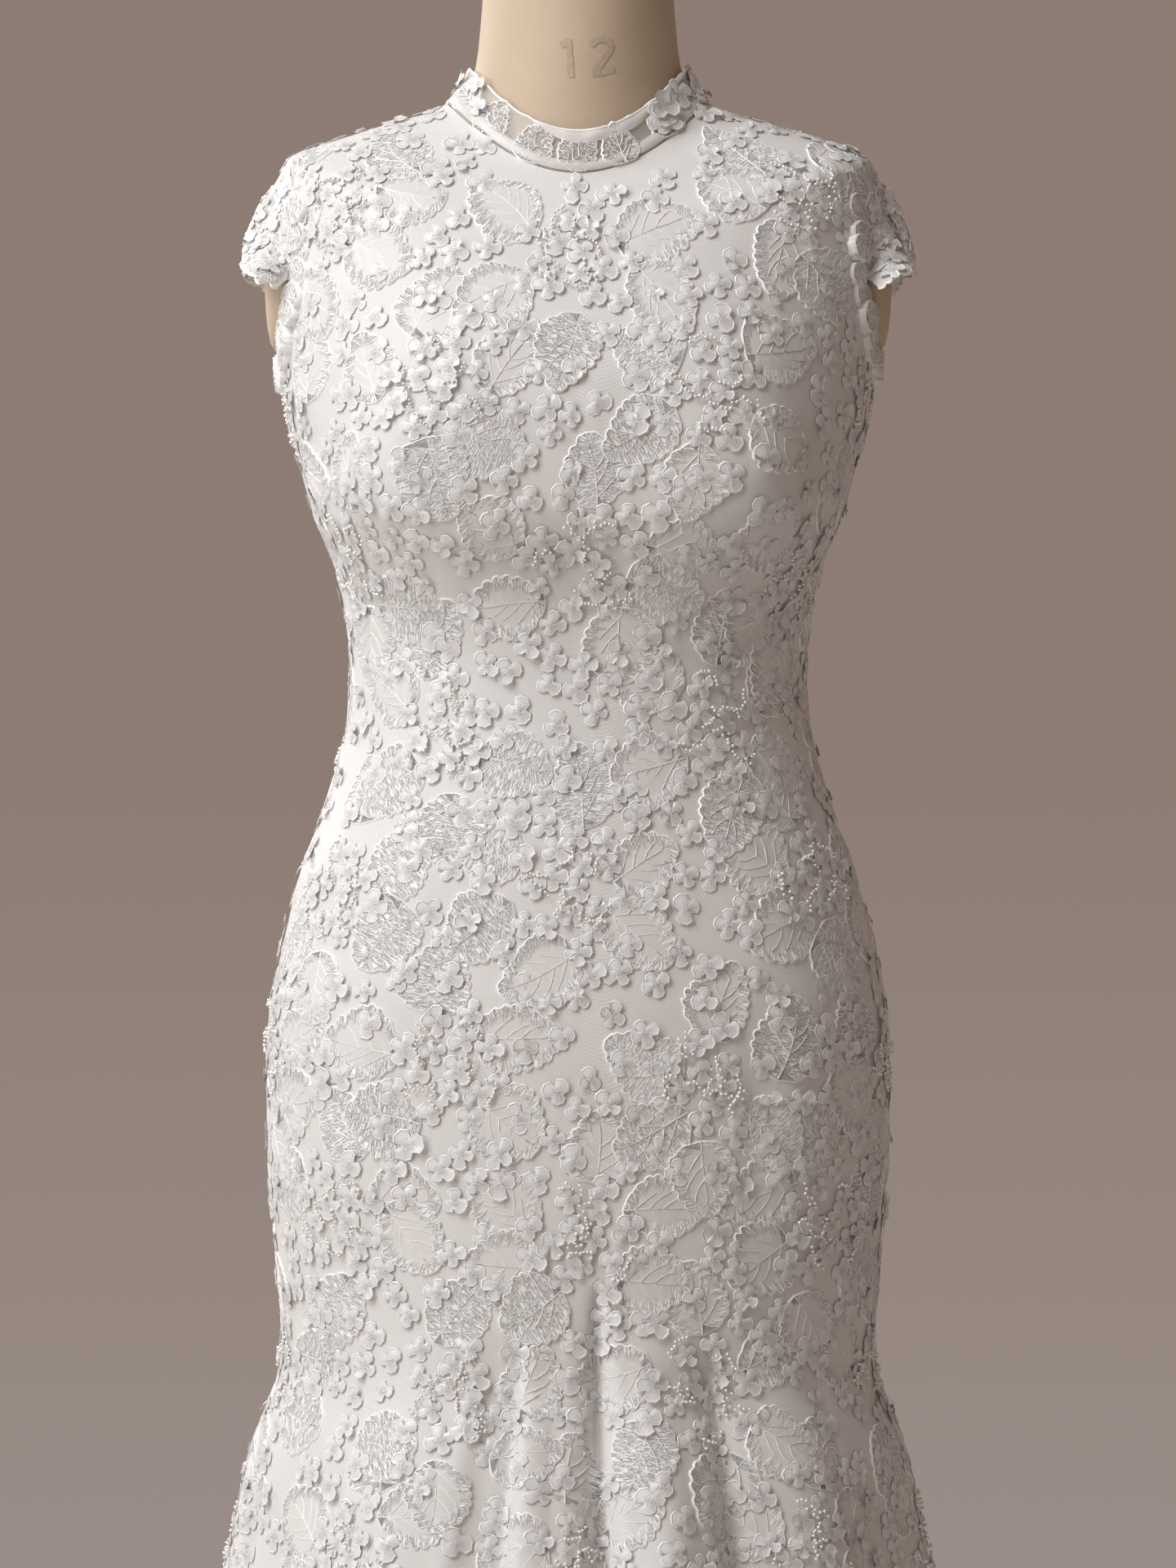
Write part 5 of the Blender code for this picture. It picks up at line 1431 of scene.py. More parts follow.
def cluster_flowers(spot, a, b, rng):
    """The flowers and strung pearls of the clusters. The flowers' places are given back."""
    count = len(a)
    places = []
    for flower in range(FLOWERS_IN + FLOWERS_OUT):
        if flower < FLOWERS_IN:
            radius = MIDDLE_RADIUS * math.sqrt((flower + FIRST_PLACE) / FLOWERS_IN)
        else:
            radius = rng.uniform(*OUTER_RADII, count)
        turn = flower * GOLDEN_TURN + rng.normal(0, FLOWER_TURNED, count)
        distance = radius + rng.normal(0, FLOWER_MOVED, count)
        across, along = distance * np.cos(turn), distance * np.sin(turn)
        at = DRESS.nudged(a, b, across, along)
        places.append(DRESS.place(*at))
        lift = rng.uniform(*FLOWER_LIFT, count)
        spot.flowers(*at, rng.uniform(*FLOWER_SIZES, count), lift, rng)
        if flower < STRUNG:
            start = rng.uniform(0, 2 * math.pi, count)
            for bead in range(STRING_BEADS):
                turn = start + bead * BEAD_STEP / STRING_RADIUS
                away = STRING_RADIUS + rng.normal(0, BEAD_MOVED, count)
                at = DRESS.nudged(a, b, across + away * np.cos(turn), along + away * np.sin(turn))
                spot.beads(*at, rng.uniform(*BEAD_OUT, count), rng.uniform(*BEAD_RADII, count))
    return np.concatenate(places)


def dress_lace(rng):
    """Piles of lace, one for each panel."""
    piles = [Pile() for _ in PANELS]
    centres = cluster_places(rng)
    spot = Spot(piles, DRESS, clear_on_dress, panel_of)
    leaf_places = cluster_leaves(spot, *centres, rng)
    fill_with_flowers(spot, leaf_places, cluster_flowers(spot, *centres, rng), rng)
    for side in (1, -1):
        armhole_tips(Spot(piles, DRESS, everywhere, panel_of), side, rng)
    return piles


def fill_with_flowers(spot, leaves, taken, rng):
    """Single flowers wherever leaves and the flowers already taken leave the cloth bare."""
    angle = rng.uniform(-math.pi, math.pi, FILLING_TRIES)
    level = rng.uniform(HEM + FILLING_FOOT, NECK_SEAM, FILLING_TRIES)
    chosen = []
    for number, place in enumerate(DRESS.place(angle, level)):
        if ((leaves - place) ** 2).sum(axis=1).min() < LEAF_CLEAR**2:
            continue
        if ((taken - place) ** 2).sum(axis=1).min() < FLOWER_CLEAR**2:
            continue
        chosen.append(number)
        taken = np.concatenate([taken, [place]])
    count = len(chosen)
    size, lift = rng.uniform(*FILLING_SIZES, count), rng.uniform(*FILLING_LIFT, count)
    spot.flowers(angle[chosen], level[chosen], size, lift, rng)


def everywhere(a, b):
    return np.ones(len(a), bool)


def armhole_tips(spot, side, rng):
    """Small leaves that overlap the free lower edge of an armhole."""
    count = len(TIP_TURNS)
    turns = TIP_TURNS + rng.normal(0, TIP_TURNED, count)
    out = TIP_SCALE + rng.uniform(*TIP_MOVED, count)
    angle = side * (SIDE - ARM_HALF * np.sin(turns) * out)
    level = ARM_LEVEL + ARM_HALF_LEVEL * np.cos(turns) * out
    towards = np.arctan2(ARM_LEVEL - level, (side * SIDE - angle) * ARM_RADIUS)
    length, width = rng.uniform(*TIP_LENGTHS, count), rng.uniform(*TIP_WIDTHS, count)
    facing = towards + rng.normal(0, TIP_FACING, count)
    lift = rng.uniform(*TIP_LIFT, count)
    spot.leaves(angle, level, facing, length, width, 0 * turns, lift, rng, ALL_STITCHED)


# Cap sleeves. A cap is swept round the armhole: swings in radians, shares from the seam to the free edge.

LeafRow = namedtuple("LeafRow", "share spacing turn_deg lengths")

CAP_TENSION = 0.72
CAP_TUCK = 0.0035
CAP_EASE = 0.9
CAP_SLOPE = 0.08
CAP_BEFORE = -0.6
CAP_LIMIT = 1.14
CAP_SIDE_LIMIT = 0.30
CAP_SCALLOPS = 17
CAP_SCALLOP_COLUMNS = 6
CAP_COLUMNS = CAP_SCALLOPS * CAP_SCALLOP_COLUMNS + 1
CAP_ROWS = 9
CAP_OVERLAP = (-0.05, -0.02)
CAP_FIRST = 0.02
CAP_TEETH = 0.045
TEETH_ROUND = 0.7
CAP_OVER = 0.0006
CAP_OVER_SHARE = 0.2
CAP_CORD = (0.0007, -0.0002, 0.0010)
CAP_LACE = (-1.55, 1.56)
CAP_LEAVES = (
    LeafRow(-0.12, 0.50, 60, (0.030, 0.038)),
    LeafRow(0.34, 0.46, 90, (0.030, 0.038)),
    LeafRow(0.70, 0.38, 90, (0.030, 0.038)),
    LeafRow(0.97, 0.19, 90, (0.015, 0.021)),
)
CAP_MOVED = 0.04
CAP_LEAF_WIDTHS = (0.72, 0.92)
CAP_TURNED_DEG = 24
CAP_LEAF_BENDS = (-0.1, 0.1)
CAP_LEAF_LIFT = (0.0002, 0.0012)
CAP_FLOWERS = 64
CAP_FLOWER_SPANS = ((-1.6, 1.6), (-0.35, 1.0), (0.0070, 0.0092), (0.0006, 0.0018))


def arm_rim(swing, scale):
    """Places of the skin on the armhole's oval, made larger or smaller."""
    angle = SIDE - ARM_HALF * np.sin(swing) * scale
    return skin(angle, ARM_LEVEL + ARM_HALF_LEVEL * np.cos(swing) * scale)


def cap_point(side):
    def point(a, b):
        """Places of a cap: a swings from back to front round the armhole, b runs from it to the free edge.

        Before the armhole (b under 0) they lie on the panels, so that lace crosses the seam.
        """
        swing = side * a
        foot = arm_rim(swing, 1.0)
        slope = (foot - arm_rim(swing, 1 + CAP_SLOPE)) / CAP_SLOPE
        end_x = CAP_EDGE_X - CAP_TUCK + CAP_REACH * np.cos(swing * CAP_EASE)
        end_z = CAP_EDGE_Z + CAP_EDGE_RISE * np.cos(swing)
        end = np.stack([end_x, -CAP_HALF_DEPTH * np.sin(swing), end_z], axis=-1)
        length = np.linalg.norm(end - foot, axis=-1)
        control = foot + unit(slope) * (length * CAP_TENSION)[..., None]
        share = np.maximum(b, 0.0)[..., None]
        curve = foot * (1 - share) ** 2 + control * 2 * share * (1 - share) + end * share**2
        behind = arm_rim(swing, 1 + np.maximum(-b, 0.0) * length / np.linalg.norm(slope, axis=-1))
        return (curve + behind - foot) * np.array([side, 1, 1])

    return point


def no_relief(a, b, points):
    return 0.0


def clear_on_cap(a, b):
    inside = (np.abs(a) < CAP_TURN + CAP_SIDE_LIMIT) & (b > CAP_BEFORE) & (b < CAP_LIMIT)
    return inside.all(axis=1)


def build_cap(name, side, cloth_finish, finishes, rng):
    cap = Cloth(cap_point(side), no_relief, CAP_BEFORE, CAP_LIMIT)
    swings = np.linspace(-CAP_TURN, CAP_TURN, CAP_COLUMNS)
    waves = np.abs(np.sin(np.linspace(0, CAP_SCALLOPS * math.pi, CAP_COLUMNS)))
    teeth = CAP_TEETH * (waves**TEETH_ROUND - 0.5)
    shares = np.concatenate([CAP_OVERLAP, np.linspace(CAP_FIRST, 1, CAP_ROWS)])[:, None]
    over = CAP_OVER * np.clip(1 - shares / CAP_OVER_SHARE, 0, 1)
    grid = cap.place(swings[None], shares + teeth * np.maximum(shares, 0) ** 3, over)
    cloth = sheet_piece(name, grid, cloth_finish)
    pile = Pile()
    spot = Spot([pile], cap, clear_on_cap)
    spot.cord(swings, 1.0 + teeth, *CAP_CORD)
    for row in CAP_LEAVES:
        a = np.arange(*CAP_LACE, row.spacing)
        count = len(a)
        a = a + rng.normal(0, CAP_MOVED, count)
        b = row.share + rng.normal(0, CAP_MOVED, count)
        length = rng.uniform(*row.lengths, count)
        width = length * rng.uniform(*CAP_LEAF_WIDTHS, count)
        facing = np.radians(row.turn_deg + rng.normal(0, CAP_TURNED_DEG, count))
        lift = rng.uniform(*CAP_LEAF_LIFT, count)
        bend = rng.uniform(*CAP_LEAF_BENDS, count)
        spot.leaves(a, b, facing, length, width, bend, lift, rng, ALL_STITCHED)
    spot.scatter(CAP_FLOWERS, CAP_FLOWER_SPANS, rng)
    return cloth, new_piece(name + "_lace", pile, finishes)


# Collar and the band round its foot

FlowerGroup = namedtuple("FlowerGroup", "count angles levels smallest")

COLLAR_OPENING = 0.0101
COLLAR_COLUMNS = 181
COLLAR_ROWS = 9
COLLAR_FOOT = 0.0006
COLLAR_TEETH = 0.0010
COLLAR_SCALLOPS = 26
COLLAR_CORD = (0.0007, -0.0002, 0.0009)
COLLAR_LEAVES = 15
COLLAR_LEAF_TURN = 2.89
COLLAR_LEAF_LEVEL = 1.4845
COLLAR_TURN_MOVED = 0.02
COLLAR_LEVEL_MOVED = 0.0012
COLLAR_LEAF_LENGTHS = (0.026, 0.030)
COLLAR_LEAF_WIDTHS = (0.021, 0.026)
COLLAR_TURNED_DEG = 28
COLLAR_LEAF_LIFT = (0.0006, 0.0010)
COLLAR_FLOWERS = (
    FlowerGroup(22, (0.55, 1.75), (1.4800, 1.4990), 0.0094),
    FlowerGroup(14, (-3.0, -0.9), (1.4765, 1.4975), 0.0062),
    FlowerGroup(10, (1.75, 3.0), (1.4765, 1.4975), 0.0062),
)
COLLAR_FLOWER_LIFT = (0.0016, 0.0030)
SIZE_SPAN = 1.25
BACK_CLEAR = 0.024
LACE_BELOW = 0.004
LACE_ABOVE = 0.0055
BAND_OUT = 0.0006
BAND_ROWS = 7
BAND_BULGE = 0.7
BAND_ENDS = 0.05
BAND_WALL = 0.0005

# The folded strip along the top edge
FOLD_START = -0.42
FOLD_END = 1.30
FOLD_HEIGHT = 0.0085
FOLD_COLUMNS = 60
FOLD_ROWS = 5
FOLD_BLUNT = 0.4
FOLD_ENDS = 0.02
FOLD_WAVES = ((0.0004, 23), (0.0003, 41))
FOLD_OUT = 0.0009
FOLD_BULGE = 0.0010
FOLD_ROUND = 0.08
FOLD_ABOVE = 0.0002
FOLD_SHARE = 0.55
FOLD_SHARE_SPAN = 0.40


def swell(rows, ends):
    """A round swell across a strip, which starts a share in from its edges."""
    return np.sin(math.pi * (ends + (1 - 2 * ends) * rows))


def clear_on_collar(angle, level):
    behind = np.abs(wrapped(angle - math.pi)) > BACK_CLEAR
    return (behind & (level > NECK_SEAM - LACE_BELOW) & (level < COLLAR_TOP + LACE_ABOVE)).all(axis=1)


def add_top_fold(pile):
    """The folded strip along the top edge, over the front and the wearer's left."""
    part = np.linspace(0, 1, FOLD_COLUMNS)
    up = np.linspace(0, 1, FOLD_ROWS)[:, None]
    height = FOLD_HEIGHT * np.sin(math.pi * np.clip(part, FOLD_ENDS, 1 - FOLD_ENDS)) ** FOLD_BLUNT
    wave = sum(depth * np.sin(part * times) for depth, times in FOLD_WAVES)
    angles = FOLD_START + (FOLD_END - FOLD_START) * part
    out = FOLD_OUT + (FOLD_BULGE + wave) * swell(up, FOLD_ROUND)
    levels = COLLAR_TOP + FOLD_ABOVE - height * (1 - up) + wave * (1 - up)
    grid = DRESS.place(angles[None], levels, out)
    share = np.broadcast_to(FOLD_SHARE + FOLD_SHARE_SPAN * up, grid.shape[:2])
    flat = np.stack([share, 0 * share], axis=-1).reshape(1, -1, 2)
    pile.add(grid.reshape(1, -1, 3), grid_faces(FOLD_ROWS, FOLD_COLUMNS), flat, ORGANZA)


def collar_lace(angles, teeth, finishes, rng):
    pile = Pile()
    spot = Spot([pile], DRESS, clear_on_collar)
    spot.cord(angles, COLLAR_TOP - teeth, *COLLAR_CORD)
    count = COLLAR_LEAVES
    a = np.linspace(-COLLAR_LEAF_TURN, COLLAR_LEAF_TURN, count)
    a = a + rng.normal(0, COLLAR_TURN_MOVED, count)
    b = COLLAR_LEAF_LEVEL + rng.normal(0, COLLAR_LEVEL_MOVED, count)
    length, width = rng.uniform(*COLLAR_LEAF_LENGTHS, count), rng.uniform(*COLLAR_LEAF_WIDTHS, count)
    facing = np.radians(90 + rng.normal(0, COLLAR_TURNED_DEG, count))
    lift = rng.uniform(*COLLAR_LEAF_LIFT, count)
    spot.leaves(a, b, facing, length, width, 0 * a, lift, rng, EDGE_STITCHED)
    add_top_fold(pile)
    for group in COLLAR_FLOWERS:
        sizes = (group.smallest, group.smallest * SIZE_SPAN)
        spot.scatter(group.count, (group.angles, group.levels, sizes, COLLAR_FLOWER_LIFT), rng)
    return new_piece("collar_lace", pile, finishes)


def build_collar(net, band, finishes, rng):
    angles = np.linspace(-math.pi + COLLAR_OPENING, math.pi - COLLAR_OPENING, COLLAR_COLUMNS)
    teeth = COLLAR_TEETH * np.abs(np.sin(np.linspace(0, COLLAR_SCALLOPS * math.pi, COLLAR_COLUMNS)))
    rows = np.linspace(0, 1, COLLAR_ROWS)[:, None]
    levels = NECK_SEAM + COLLAR_FOOT + (COLLAR_TOP - teeth - NECK_SEAM - COLLAR_FOOT) * rows
    collar = sheet_piece("collar", DRESS.place(angles[None], levels), net, wall=0)
    lace = collar_lace(angles, teeth, finishes, rng)
    rows = np.linspace(0, 1, BAND_ROWS)[:, None]
    out = BAND_OUT + TRIM_WALL * BAND_BULGE * swell(rows, BAND_ENDS)
    fold = DRESS.place(angles[None], BINDING_LOW + (BINDING_HIGH - BINDING_LOW) * rows, out)
    binding = sheet_piece("neck_binding", fold, band, wall=BAND_WALL)
    return collar, lace, binding


# Closure down the back

PLACKET_ROWS = 120
PLACKET_COLUMNS = 9
PLACKET_BEVEL = 0.0012
PLACKET_RIM = 0.4
PLACKET_TOP_GAP = 0.0006
PLACKET_WALL = 0.0007
LINE_STEPS = 400
BUTTON_SIDES = 24
BUTTON_DOME = ((0.70, 0.0), (0.90, 0.14), (1.0, 0.38), (0.96, 0.58), (0.82, 0.78), (0.58, 0.93), (0.30, 0.99))
LOOP_RADIUS = 0.0067
LOOP_THICK = 0.00055
LOOP_OUT = 0.0001
LOOP_SIDES = 28
TUBE_SIDES = 6


def at_back(levels):
    return np.full(len(levels), math.pi)


def button_levels():
    """Levels of the buttons, an even length apart down the centre back."""
    levels = np.linspace(BUTTON_FOOT, BUTTON_TOP, LINE_STEPS)
    run = run_along(skin(at_back(levels), levels))
    return np.interp(np.linspace(run[-1], 0, BUTTON_COUNT), run, levels)


def button_and_loop():
    """Points, faces and map of a covered button, and of the cord loop round it, both standing on z = 0."""
    dome = turned_rings([(BUTTON_RADIUS * r, BUTTON_HEIGHT * z) for r, z in BUTTON_DOME], BUTTON_SIDES)
    points = np.concatenate([*dome, [[0, 0, 0], [0, 0, BUTTON_HEIGHT]]])
    yield points, loft_faces(len(dome), BUTTON_SIDES), points[None, :, :2]
    ring, tube = np.meshgrid(even_turns(LOOP_SIDES), even_turns(TUBE_SIDES), indexing="ij")
    radius = LOOP_RADIUS + LOOP_THICK * np.cos(tube)
    height = LOOP_OUT + LOOP_THICK * (1 + np.sin(tube))
    loop = np.stack([radius * np.cos(ring), radius * np.sin(ring), height], axis=-1).reshape(-1, 3)
    yield loop, tube_faces(LOOP_SIDES, TUBE_SIDES), np.zeros((1, 1, 2))


def build_closure(finish):
    levels = np.linspace(PLACKET_END, NECK_SEAM - PLACKET_TOP_GAP, PLACKET_ROWS)
    across = np.linspace(-PLACKET_HALF, PLACKET_HALF, PLACKET_COLUMNS)
    angles, places = DRESS.nudged(at_back(levels)[:, None], levels[:, None], across[None], 0 * across[None])
    edge = np.clip((PLACKET_HALF - np.abs(across)) / PLACKET_BEVEL, 0, 1)
    wall = TRIM_WALL * (PLACKET_RIM + (1 - PLACKET_RIM) * edge)
    outer = moved_in(angles, places, 0 * angles - TRIM_LIFT - wall)
    placket = sheet_piece("button_placket", outer, finish, wall=PLACKET_WALL)
    rows = button_levels()
    step_across, _, normal = DRESS.frame(at_back(rows), rows)
    side = unit(step_across)
    axes = (side, np.cross(normal, side), normal)
    rest = skin(at_back(rows), rows) + normal * BUTTON_REST
    pile = Pile()
    for points, faces, flat in button_and_loop():
        placed = rest[:, None] + sum(points[None, :, [k]] * axis[:, None] for k, axis in enumerate(axes))
        pile.add(placed, faces, flat)
    names = [f"button_{number:02d}" for number in range(1, BUTTON_COUNT + 1)]
    new_piece("covered_buttons_and_loops", pile, [finish], names)
    return placket


# Dress form and stand

FORM_COLUMNS = 120
FORM_FIRST = 0.016
FORM_LAST = 0.004
FORM_ROW = 0.012
FORM_SHARP_DEG = 50
PLATE_COLUMNS = 48
# Rings of the neck's disc and of the board: a scale of the form's outline and a share of the height
NECK_DISC = ((0.975, 0.0), (0.99, 0.08), (1.0, 0.3), (0.99, 0.6), (0.94, 0.8), (0.85, 0.93), (0.72, 1.0))
BOARD = ((0.965, 0.0), (0.980, 0.1), (0.985, 0.22), (0.985, 1.0))
DIGIT_HALF = 0.0019
DIGIT_ANGLE = 0.095
DIGIT_LEVEL = 1.5281
DIGIT_SQUASH = (1.0, 0.9)
DIGIT_OUT = 0.0003
BOW = [
    (0.0090 + 0.0062 * math.cos(turn), 0.0060 + 0.0058 * math.sin(turn))
    for turn in np.radians(np.linspace(165, -38, 12))
]
# The pen's strokes for a 1 and a 2: the flag and stem of the 1, the bow and foot of the 2
DIGIT_STROKES = (
    [(-0.0155, 0.0078), (-0.0125, 0.0105), (-0.0108, 0.0125)],
    [(-0.0105, 0.0125), (-0.0105, 0.0), (-0.0105, -0.0125)],
    [*BOW, (0.0085, -0.0045), (0.0030, -0.0106)],
    [(0.0024, -0.0108), (0.0090, -0.0108), (0.0160, -0.0108)],
)
SLEEVE_BEVEL = 0.002
FLANGE_BEVEL = 0.004
POLE_SIDES = 64
BASE_SIDES = 96
STAND_SHARP_DEG = 35


def form_point(angle, level):
    return moved_in(angle, level, FORM_DEPTH(level))


FORM = Cloth(form_point, no_relief, FORM_FLOOR, NECK_TOP)


def body_ring(level, scale=1.0, z=None):
    """The form's outline at a level, made smaller, and flattened to a height where one is given."""
    ring = form_point(even_turns(FORM_COLUMNS), np.full(FORM_COLUMNS, level))
    ring[:, :2] *= scale
    if z is not None:
        ring[:, 2] = z
    return ring


def plate_ring(side, scale, out):
    turns = even_turns(PLATE_COLUMNS)
    angle = side * SIDE + PLATE_HALF * scale * np.cos(turns)
    return moved_in(angle, PLATE_LEVEL + PLATE_HALF_LEVEL * scale * np.sin(turns), -out)


def build_form(canvas_finish, wood_finish, paint):
    top_z = RINGS[-1].side_z
    foot, neck = FORM_FLOOR + PIECE_GAP, NECK_TOP - DIFFERENCE
    levels = np.arange(FORM_FLOOR + FORM_FIRST, NECK_TOP - FORM_LAST, FORM_ROW)
    rings = [body_ring(foot, z=foot), *[body_ring(level) for level in levels], body_ring(neck, z=top_z)]
    disc = [body_ring(neck, scale, top_z + PIECE_GAP + NECK_DOME * share) for scale, share in NECK_DISC]
    low = FORM_FLOOR - BOARD_THICK
    board = [body_ring(FORM_FLOOR, scale, low + BOARD_THICK * share) for scale, share in BOARD]
    solid_piece("form_canvas", "form_body", rings, canvas_finish, FORM_SHARP_DEG)
    solid_piece("form_neck_disc", "form_neck_cap", disc, wood_finish, FORM_SHARP_DEG)
    solid_piece("form_wooden_base", "form_base_board", board, wood_finish, FORM_SHARP_DEG)
    for side, name in ((1, "left"), (-1, "right")):
        rings = [plate_ring(side, scale, out) for scale, out in PLATE_RISE]
        node = "form_arm_plate_" + name
        solid_piece("form_arm_cover_" + name, node, rings, canvas_finish, FORM_SHARP_DEG)
    build_number(paint)


def build_number(paint):
    """A faint plain 12, the size of the form, on the front of the neck."""
    pile = Pile()
    for stroke in DIGIT_STROKES:
        path = np.array(stroke)[None] * DIGIT_SQUASH
        flat, _ = ribbon(path, np.full(path.shape[:2], DIGIT_HALF), 0, 0)
        angle, level = FORM.spread(np.array([DIGIT_ANGLE]), np.array([DIGIT_LEVEL]), np.zeros(1), flat)
        pile.add(FORM.place(angle, level, DIGIT_OUT), ribbon_faces(path.shape[1]), flat)
    new_piece("size_number", pile, [paint])


def build_stand(steel_finish, iron_finish):
    """The pole and the base, turned from profiles of (radius, height)."""
    top = FORM_FLOOR - BOARD_THICK - PIECE_GAP
    pole = (
        (POLE_RADIUS, POLE_FOOT),
        (POLE_RADIUS, SLEEVE_LOW),
        (SLEEVE_RADIUS, SLEEVE_LOW + SLEEVE_BEVEL),
        (SLEEVE_RADIUS, top - FLANGE_THICK - FLANGE_BEVEL),
        (FLANGE_RADIUS, top - FLANGE_THICK),
        (FLANGE_RADIUS, top),
    )
    base = (
        (BASE_RADIUS - 0.001, 0.0),
        (BASE_RADIUS, 0.001),
        (BASE_RADIUS, BASE_THICK * 0.5),
        (BASE_RADIUS - 0.0018, BASE_THICK * 0.70),
        (BASE_RADIUS - 0.006, BASE_THICK * 0.85),
        (HUB_RADIUS * 1.3, BASE_THICK * 1.35),
        (HUB_RADIUS, BASE_THICK * 1.8),
        (HUB_RADIUS * 0.75, HUB_TOP),
    )
    rings = turned_rings(pole, POLE_SIDES)
    solid_piece("steel_pole", "stand_pole", rings, steel_finish, STAND_SHARP_DEG)
    rings = turned_rings(base, BASE_SIDES)
    solid_piece("iron_base", "stand_base", rings, iron_finish, STAND_SHARP_DEG)


# Hem border

HemRow = namedtuple("HemRow", "height scallop out depth")

HEM_SCALLOP = 0.024
HEM_STEPS = 10
HEM_ROUND = 0.6
LINE_COLUMNS = 3000
HEM_ROWS = (
    HemRow(0.020, 0.0016, 0.0003, 0.0),
    HemRow(0.0185, 0.0016, 0.0012, 0.0),
    HemRow(0.0170, 0.0016, 0.0006, 0.0012),
    HemRow(0.009, 0.0, 0.0006, 0.007),
    HemRow(0.0012, 0.0052, 0.0005, 0.0009),
    HemRow(0.0005, 0.0056, 0.0014, 0.0),
    HemRow(-0.0002, 0.0060, 0.0004, 0.0),
)


def build_hem(finish):
    """A scalloped lace border along the hem."""
    angles = np.linspace(-math.pi, math.pi, LINE_COLUMNS)
    run = run_along(skin(angles, np.full(LINE_COLUMNS, HEM)))
    columns = round(run[-1] / HEM_SCALLOP) * HEM_STEPS
    steps = np.arange(columns)
    turns = np.interp(steps * run[-1] / columns, run, angles)
    wave = np.abs(np.sin(steps * math.pi / HEM_STEPS)) ** HEM_ROUND
    grid = np.stack([DRESS.place(turns, HEM + row.height - row.scallop * wave, row.out) for row in HEM_ROWS])
    depth = np.repeat([row.depth for row in HEM_ROWS], columns)
    along = np.tile(steps * HEM_SCALLOP / HEM_STEPS, len(HEM_ROWS))
    pile = Pile()
    faces = grid_faces(len(HEM_ROWS), columns, closed=True)[:, ::-1]
    pile.add(grid.reshape(1, -1, 3), faces, np.stack([along, depth], axis=-1)[None])
    return new_piece("hem_lace_border", pile, [finish])


def build_lace(piles, finishes):
    return {name: new_piece(name + "_lace", pile, finishes) for name, pile in zip(PANELS, piles)}


# The record of a cut of the cloth, in metres and square metres, before it was sewn and hung. No cuts are
# listed here.

Cut = namedtuple("Cut", "name width length area held carried_by")


# Camera, light and floor

Lamp = namedtuple("Lamp", "name place target size power colour")

CAMERA_PLACE = (0.006, -3.2, 1.0075)
LENS = 120.0
SENSOR = 36.0
CHEST = (0, 0, 1.05)
MIDDLE = (0, 0, 1.0)
COOL = (0.975, 0.988, 1.0)
WARM = (1.0, 0.99, 0.98)
LAMPS = (
    Lamp("key", (-1.80, -1.45, 3.50), CHEST, 2.3, 93.0, COOL),
    Lamp("side", (-3.1, -2.0, 1.6), CHEST, 1.6, 33.0, COOL),
    Lamp("fill", (-2.4, -3.8, 1.2), MIDDLE, 2.6, 4.0, WARM),
    Lamp("back", (-2.5, 2.6, 2.9), MIDDLE, 1.5, 70.0, WARM),
)
BACKDROP_LOW = (0.325, 0.268, 0.245)
BACKDROP_HIGH = (0.266, 0.203, 0.172)
BACKDROP_BLEND = (-0.15, 0.0)
AMBIENT = (0.222, 0.172, 0.149)
FLOOR_RADII = (0.0005, 0.6, 1.4, 2.6)
FLOOR_LEVEL = -0.0002
FLOOR_STEP_DEG = 5


def build_camera():
    camera = bpy.data.cameras.new("camera")
    camera.sensor_width = SENSOR
    camera.lens = LENS
    holder = linked("camera", camera)
    holder.location = CAMERA_PLACE
    holder.rotation_euler = (SIDE, 0, 0)
    bpy.context.scene.camera = holder


def build_lamps():
    for lamp in LAMPS:
        light = bpy.data.lights.new(lamp.name, "AREA")
        light.shape = "DISK"
        light.size = lamp.size
        light.energy = lamp.power
        light.color = lamp.colour
        made = linked(lamp.name, light)
        made.location = lamp.place
        made.rotation_euler = (Vector(lamp.target) - Vector(lamp.place)).to_track_quat("-Z", "Y").to_euler()


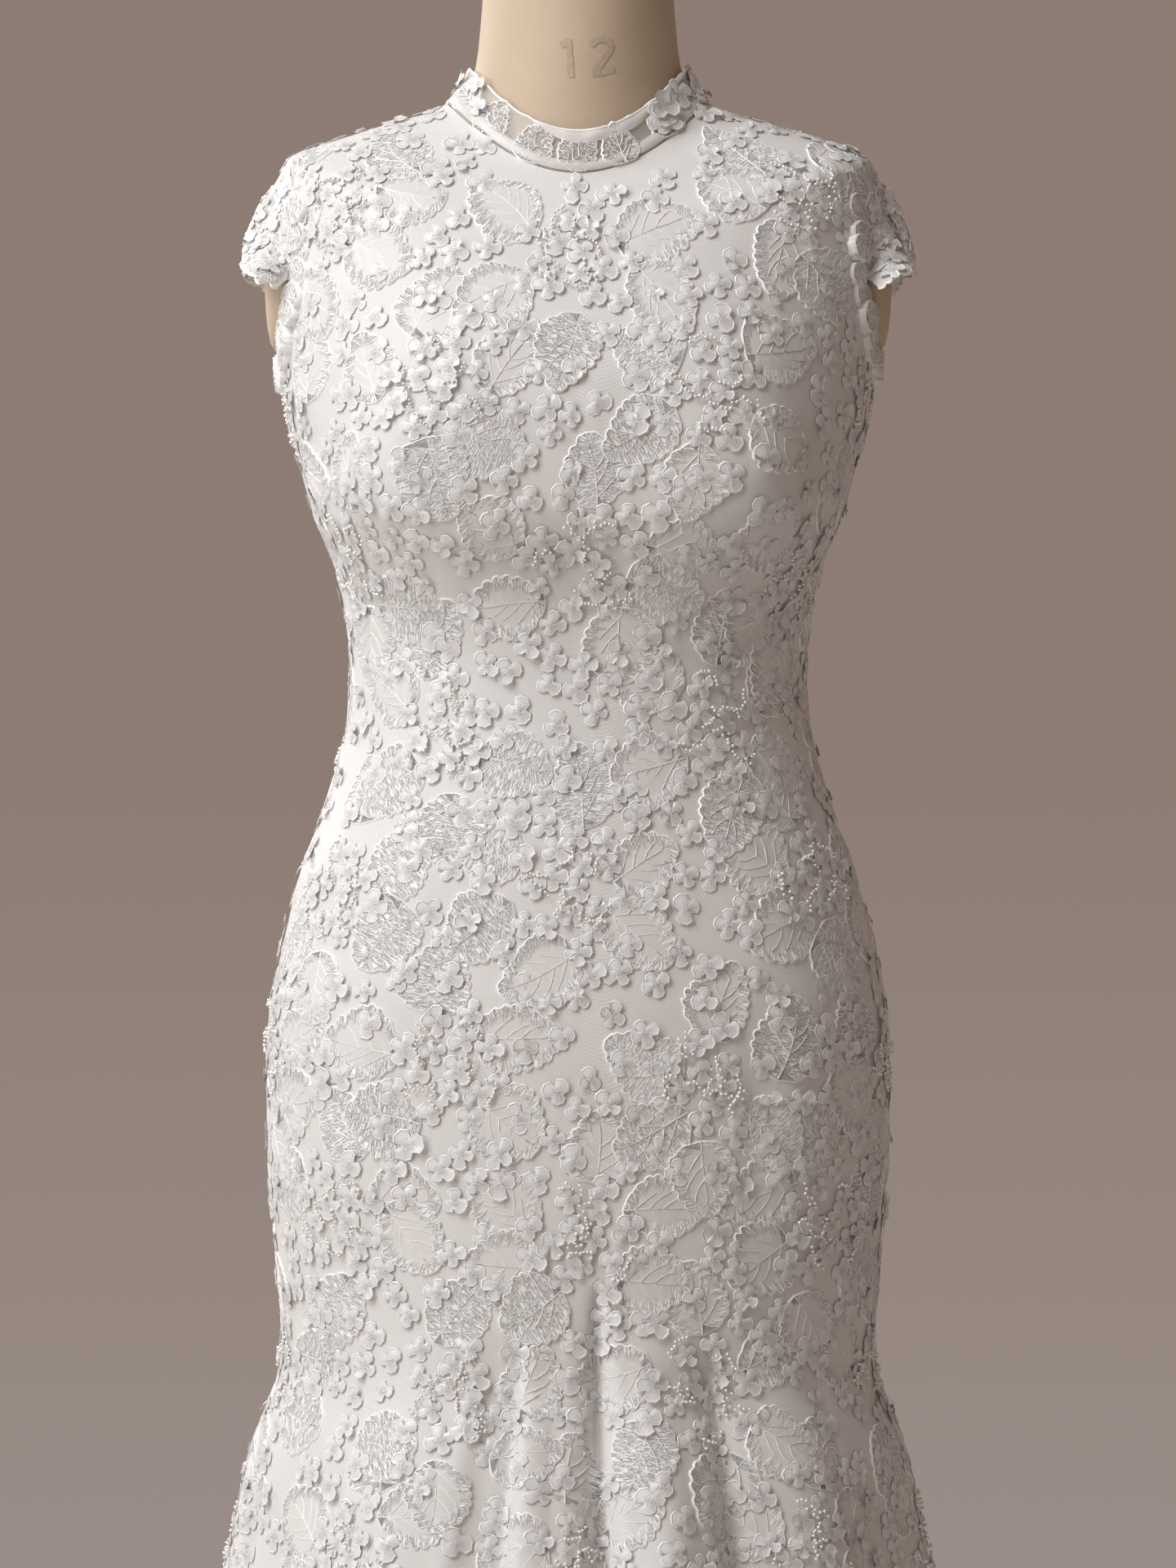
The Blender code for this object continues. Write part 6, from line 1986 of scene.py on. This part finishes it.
def build_world():
    """A plain backdrop that the camera sees, darker upwards, and a dimmer even light from it."""
    world = bpy.data.worlds.new("studio")
    world.use_nodes = True
    nodes, links = world.node_tree.nodes, world.node_tree.links
    height = nodes.new("ShaderNodeSeparateXYZ")
    links.new(nodes.new("ShaderNodeTexCoord").outputs["Generated"], height.inputs[0])
    sweep = nodes.new("ShaderNodeMapRange")
    links.new(height.outputs["Z"], sweep.inputs["Value"])
    sweep.inputs["From Min"].default_value, sweep.inputs["From Max"].default_value = BACKDROP_BLEND
    sky = nodes.new("ShaderNodeValToRGB")
    links.new(sweep.outputs[0], sky.inputs[0])
    for element, colour in zip(sky.color_ramp.elements, (BACKDROP_LOW, BACKDROP_HIGH)):
        element.color = rgba(colour)
    seen = nodes.new("ShaderNodeMix")
    seen.data_type = "RGBA"
    seen.inputs[6].default_value = rgba(AMBIENT)
    links.new(nodes.new("ShaderNodeLightPath").outputs["Is Camera Ray"], seen.inputs[0])
    links.new(sky.outputs[0], seen.inputs[7])
    links.new(seen.outputs[2], nodes["Background"].inputs["Color"])
    bpy.context.scene.world = world
    bpy.context.scene.view_settings.view_transform = "Standard"


def build_floor():
    turns = np.radians(np.arange(0, 360, FLOOR_STEP_DEG))
    radii = np.array(FLOOR_RADII)[:, None]
    grid = np.stack([radii * np.cos(turns), radii * np.sin(turns), 0 * radii * turns + FLOOR_LEVEL], axis=-1)
    points = grid.reshape(1, -1, 3)
    pile = Pile()
    faces = grid_faces(len(radii), len(turns), closed=True)[:, ::-1]
    pile.add(points, faces, points[..., :2])
    finish = Finish("pale_floor", (0.62, 0.58, 0.54), 0.6)
    finish.colour(finish.clouds(3.0, (0.58, 0.54, 0.50), (0.66, 0.62, 0.58), detail=4.0))
    new_object("floor", pile, [finish.material])


def main():
    rng = np.random.default_rng(SEED)
    cloth = lining_under_net()
    finishes = [lace_thread("lace_edge_stitched", 0.0, 0.45), lace_thread("lace_all_stitched", 2.0, 4.0)]
    finishes += [organza("organza_petal", 0.88), pearl()]
    cloths = {**build_bodice(cloth), **build_flounce(cloth)}
    laces = build_lace(dress_lace(rng), finishes)
    for side, name in ((1, "cap_sleeve_left"), (-1, "cap_sleeve_right")):
        cloths[name], laces[name] = build_cap(name, side, cloth, finishes, rng)
    thread = lace_thread("lace_on_collar_net", 0.0, 0.7, sheer=True)
    sheer = [thread, thread, organza("collar_petal", 0.92), finishes[PEARL]]
    collar = build_collar(sheer_net(), sheer_band(), sheer, rng)
    cloths["collar"], laces["collar"], cloths["neck_binding"] = collar
    cloths["button_placket"] = build_closure(satin())
    build_form(canvas(), wood(), faint_paint())
    build_stand(steel(), iron())
    cloths["hem_lace_border"] = build_hem(finishes[ALL_STITCHED])
    build_floor()
    build_camera()
    build_lamps()
    build_world()


main()
